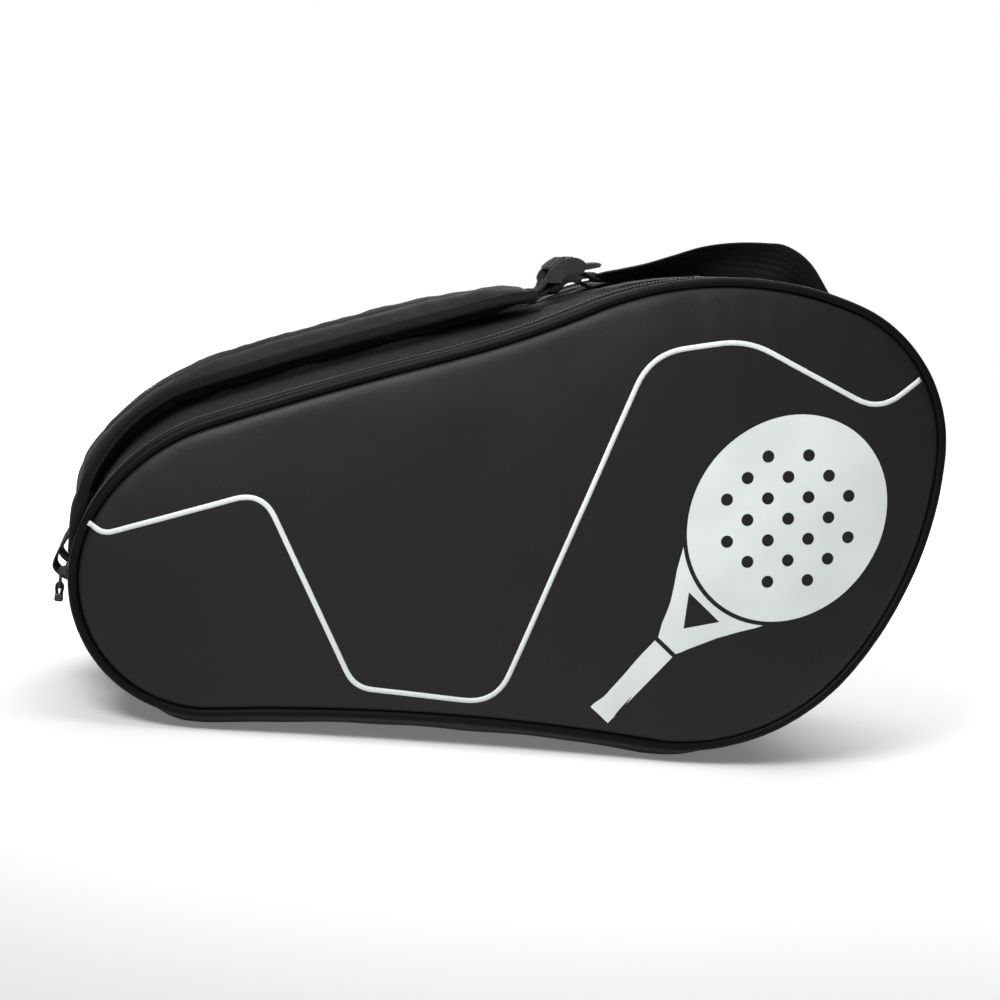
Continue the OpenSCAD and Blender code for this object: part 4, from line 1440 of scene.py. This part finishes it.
def tag_plate(build, border, holes, thickness):
    """Adds a thin plate in the xz plane with holes in it."""
    loops = [border, *holes]
    verts, faces = filled(loops)
    n = len(verts)
    low, high = (np.column_stack([verts, np.full(n, z)]) for z in (-thickness / 2, thickness / 2))
    base = build.count
    build.add(np.vstack([low, high]), np.vstack([faces[:, ::-1], faces + n]))
    start = 0
    for m in map(len, loops):
        i = start + np.arange(m)
        j = start + (np.arange(m) + 1) % m
        build.faces.append(np.stack([i, j, j + n, i + n], -1) + base)
        build.maps.append(np.zeros((m, 4, 2)))
        start += m


# ---- CAD pieces that stay ----


def carried(node, material):
    """Gives a CAD piece its material, and leaves its mesh and place alone."""
    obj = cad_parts[node]
    obj.data.materials.clear()
    obj.data.materials.append(material)


for SIDE, S in SIDES.items():
    cover_panel(SIDE, S)
    cover_piping(SIDE, S)
    cover_zip(SIDE, S)
    tape(SIDE, S, SPINE_Y - 0.3, ZIP_Y - 1.0, "bag", "inner")
    zip_end_tabs(SIDE, S)
    strap_pad(SIDE, S)
    buckle(SIDE, S)
    slider(SIDE, S)
    puller(SIDE, S)
    carried(f"{SIDE}_lining", FOIL)
carried("divider", DIVIDER)
front_stripe()
front_print()
gussets()
webbings()


# ---- Camera, floor and lights ----

CAMERA_AT = (-224.1, -1318.8, 310.5)
CAMERA_AHEAD = (0.17253, 0.97848, -0.11320)
CAMERA_ROLL = 6.459
CAMERA_LENS = 68
CAMERA_SENSOR = 36
FLOOR_HALF = 8.0
# Light that the floor gives off itself, like a light table, so that shadows stay soft
FLOOR_GLOW = 0.16
# The floor turns white between these distances from a point before the bag, in metres
FLOOR_FADE = (1.35, 2.3)
FLOOR_FADE_FROM = (0, -1.1, 0)


def look_matrix(place, ahead, roll):
    """Camera matrix from its place in mm, its view direction and its roll in degrees."""
    ahead = Vector(ahead).normalized()
    right = ahead.cross(Vector((0, 0, 1))).normalized()
    up = right.cross(ahead)
    a = math.radians(roll)
    x = right * math.cos(a) + up * math.sin(a)
    y = up * math.cos(a) - right * math.sin(a)
    turn = Matrix((x, y, -ahead)).transposed().to_4x4()
    return Matrix.Translation(Vector(place) * MM) @ turn


def studio_camera():
    camera = bpy.data.objects.new("Camera", bpy.data.cameras.new("Camera"))
    bpy.context.collection.objects.link(camera)
    camera.data.lens = CAMERA_LENS
    camera.data.sensor_width = CAMERA_SENSOR
    camera.matrix_world = look_matrix(CAMERA_AT, CAMERA_AHEAD, CAMERA_ROLL)
    bpy.context.scene.camera = camera


def studio_floor():
    """Pale floor that ends in the same white as the world."""
    half = FLOOR_HALF
    mesh = bpy.data.meshes.new("Floor")
    corners = [(-half, -half, 0), (half, -half, 0), (half, half, 0), (-half, half, 0)]
    mesh.from_pydata(corners, [], [(0, 1, 2, 3)])
    floor = bpy.data.objects.new("Floor", mesh)
    bpy.context.collection.objects.link(floor)
    finish = Finish("Floor", (0.90, 0.90, 0.90), 0.8)
    away = finish.node("ShaderNodeVectorMath", [finish.place, FLOOR_FADE_FROM], out=1, operation="DISTANCE")
    limits = {"Value": away, "From Min": FLOOR_FADE[0], "From Max": FLOOR_FADE[1], "To Min": FLOOR_GLOW}
    fade = finish.node("ShaderNodeMapRange", limits, interpolation_type="SMOOTHSTEP")
    finish.tree.links.new(fade, finish.shader.inputs["Emission Strength"])
    finish.shader.inputs["Emission Color"].default_value = (1, 1, 1, 1)
    mesh.materials.append(finish.material)


def softbox(name, place, target, size, power, spread=180):
    """Square area light in metres, aimed at a point, with its spread in degrees."""
    light = bpy.data.lights.new(name, "AREA")
    light.shape, light.size, light.energy = "SQUARE", size, power
    light.spread = math.radians(spread)
    obj = bpy.data.objects.new(name, light)
    bpy.context.collection.objects.link(obj)
    obj.location = place
    obj.rotation_euler = (Vector(target) - Vector(place)).to_track_quat("-Z", "Y").to_euler()


def studio_world(light):
    """White background that lights the bag only dimly."""
    world = bpy.data.worlds.new("World")
    bpy.context.scene.world = world
    world.use_nodes = True
    tree = world.node_tree
    back = tree.nodes["Background"]
    back.inputs["Color"].default_value = (1, 1, 1, 1)
    seen = tree.nodes.new("ShaderNodeLightPath").outputs["Is Camera Ray"]
    mix = tree.nodes.new("ShaderNodeMapRange")
    mix.inputs["To Min"].default_value = light
    tree.links.new(seen, mix.inputs["Value"])
    tree.links.new(mix.outputs[0], back.inputs["Strength"])


studio_camera()
studio_floor()
softbox("Top", (0.1, 0.1, 1.7), (0, 0, 0.1), 1.8, 26)
softbox("Front", (-0.45, -0.85, 0.95), (-0.08, -0.1, 0.42), 0.5, 3.2, 60)
softbox("Rear", (0.6, 2.0, 1.4), (0, 0, 0.15), 1.2, 14)
studio_world(0.10)
bpy.context.scene.view_settings.view_transform = "Standard"
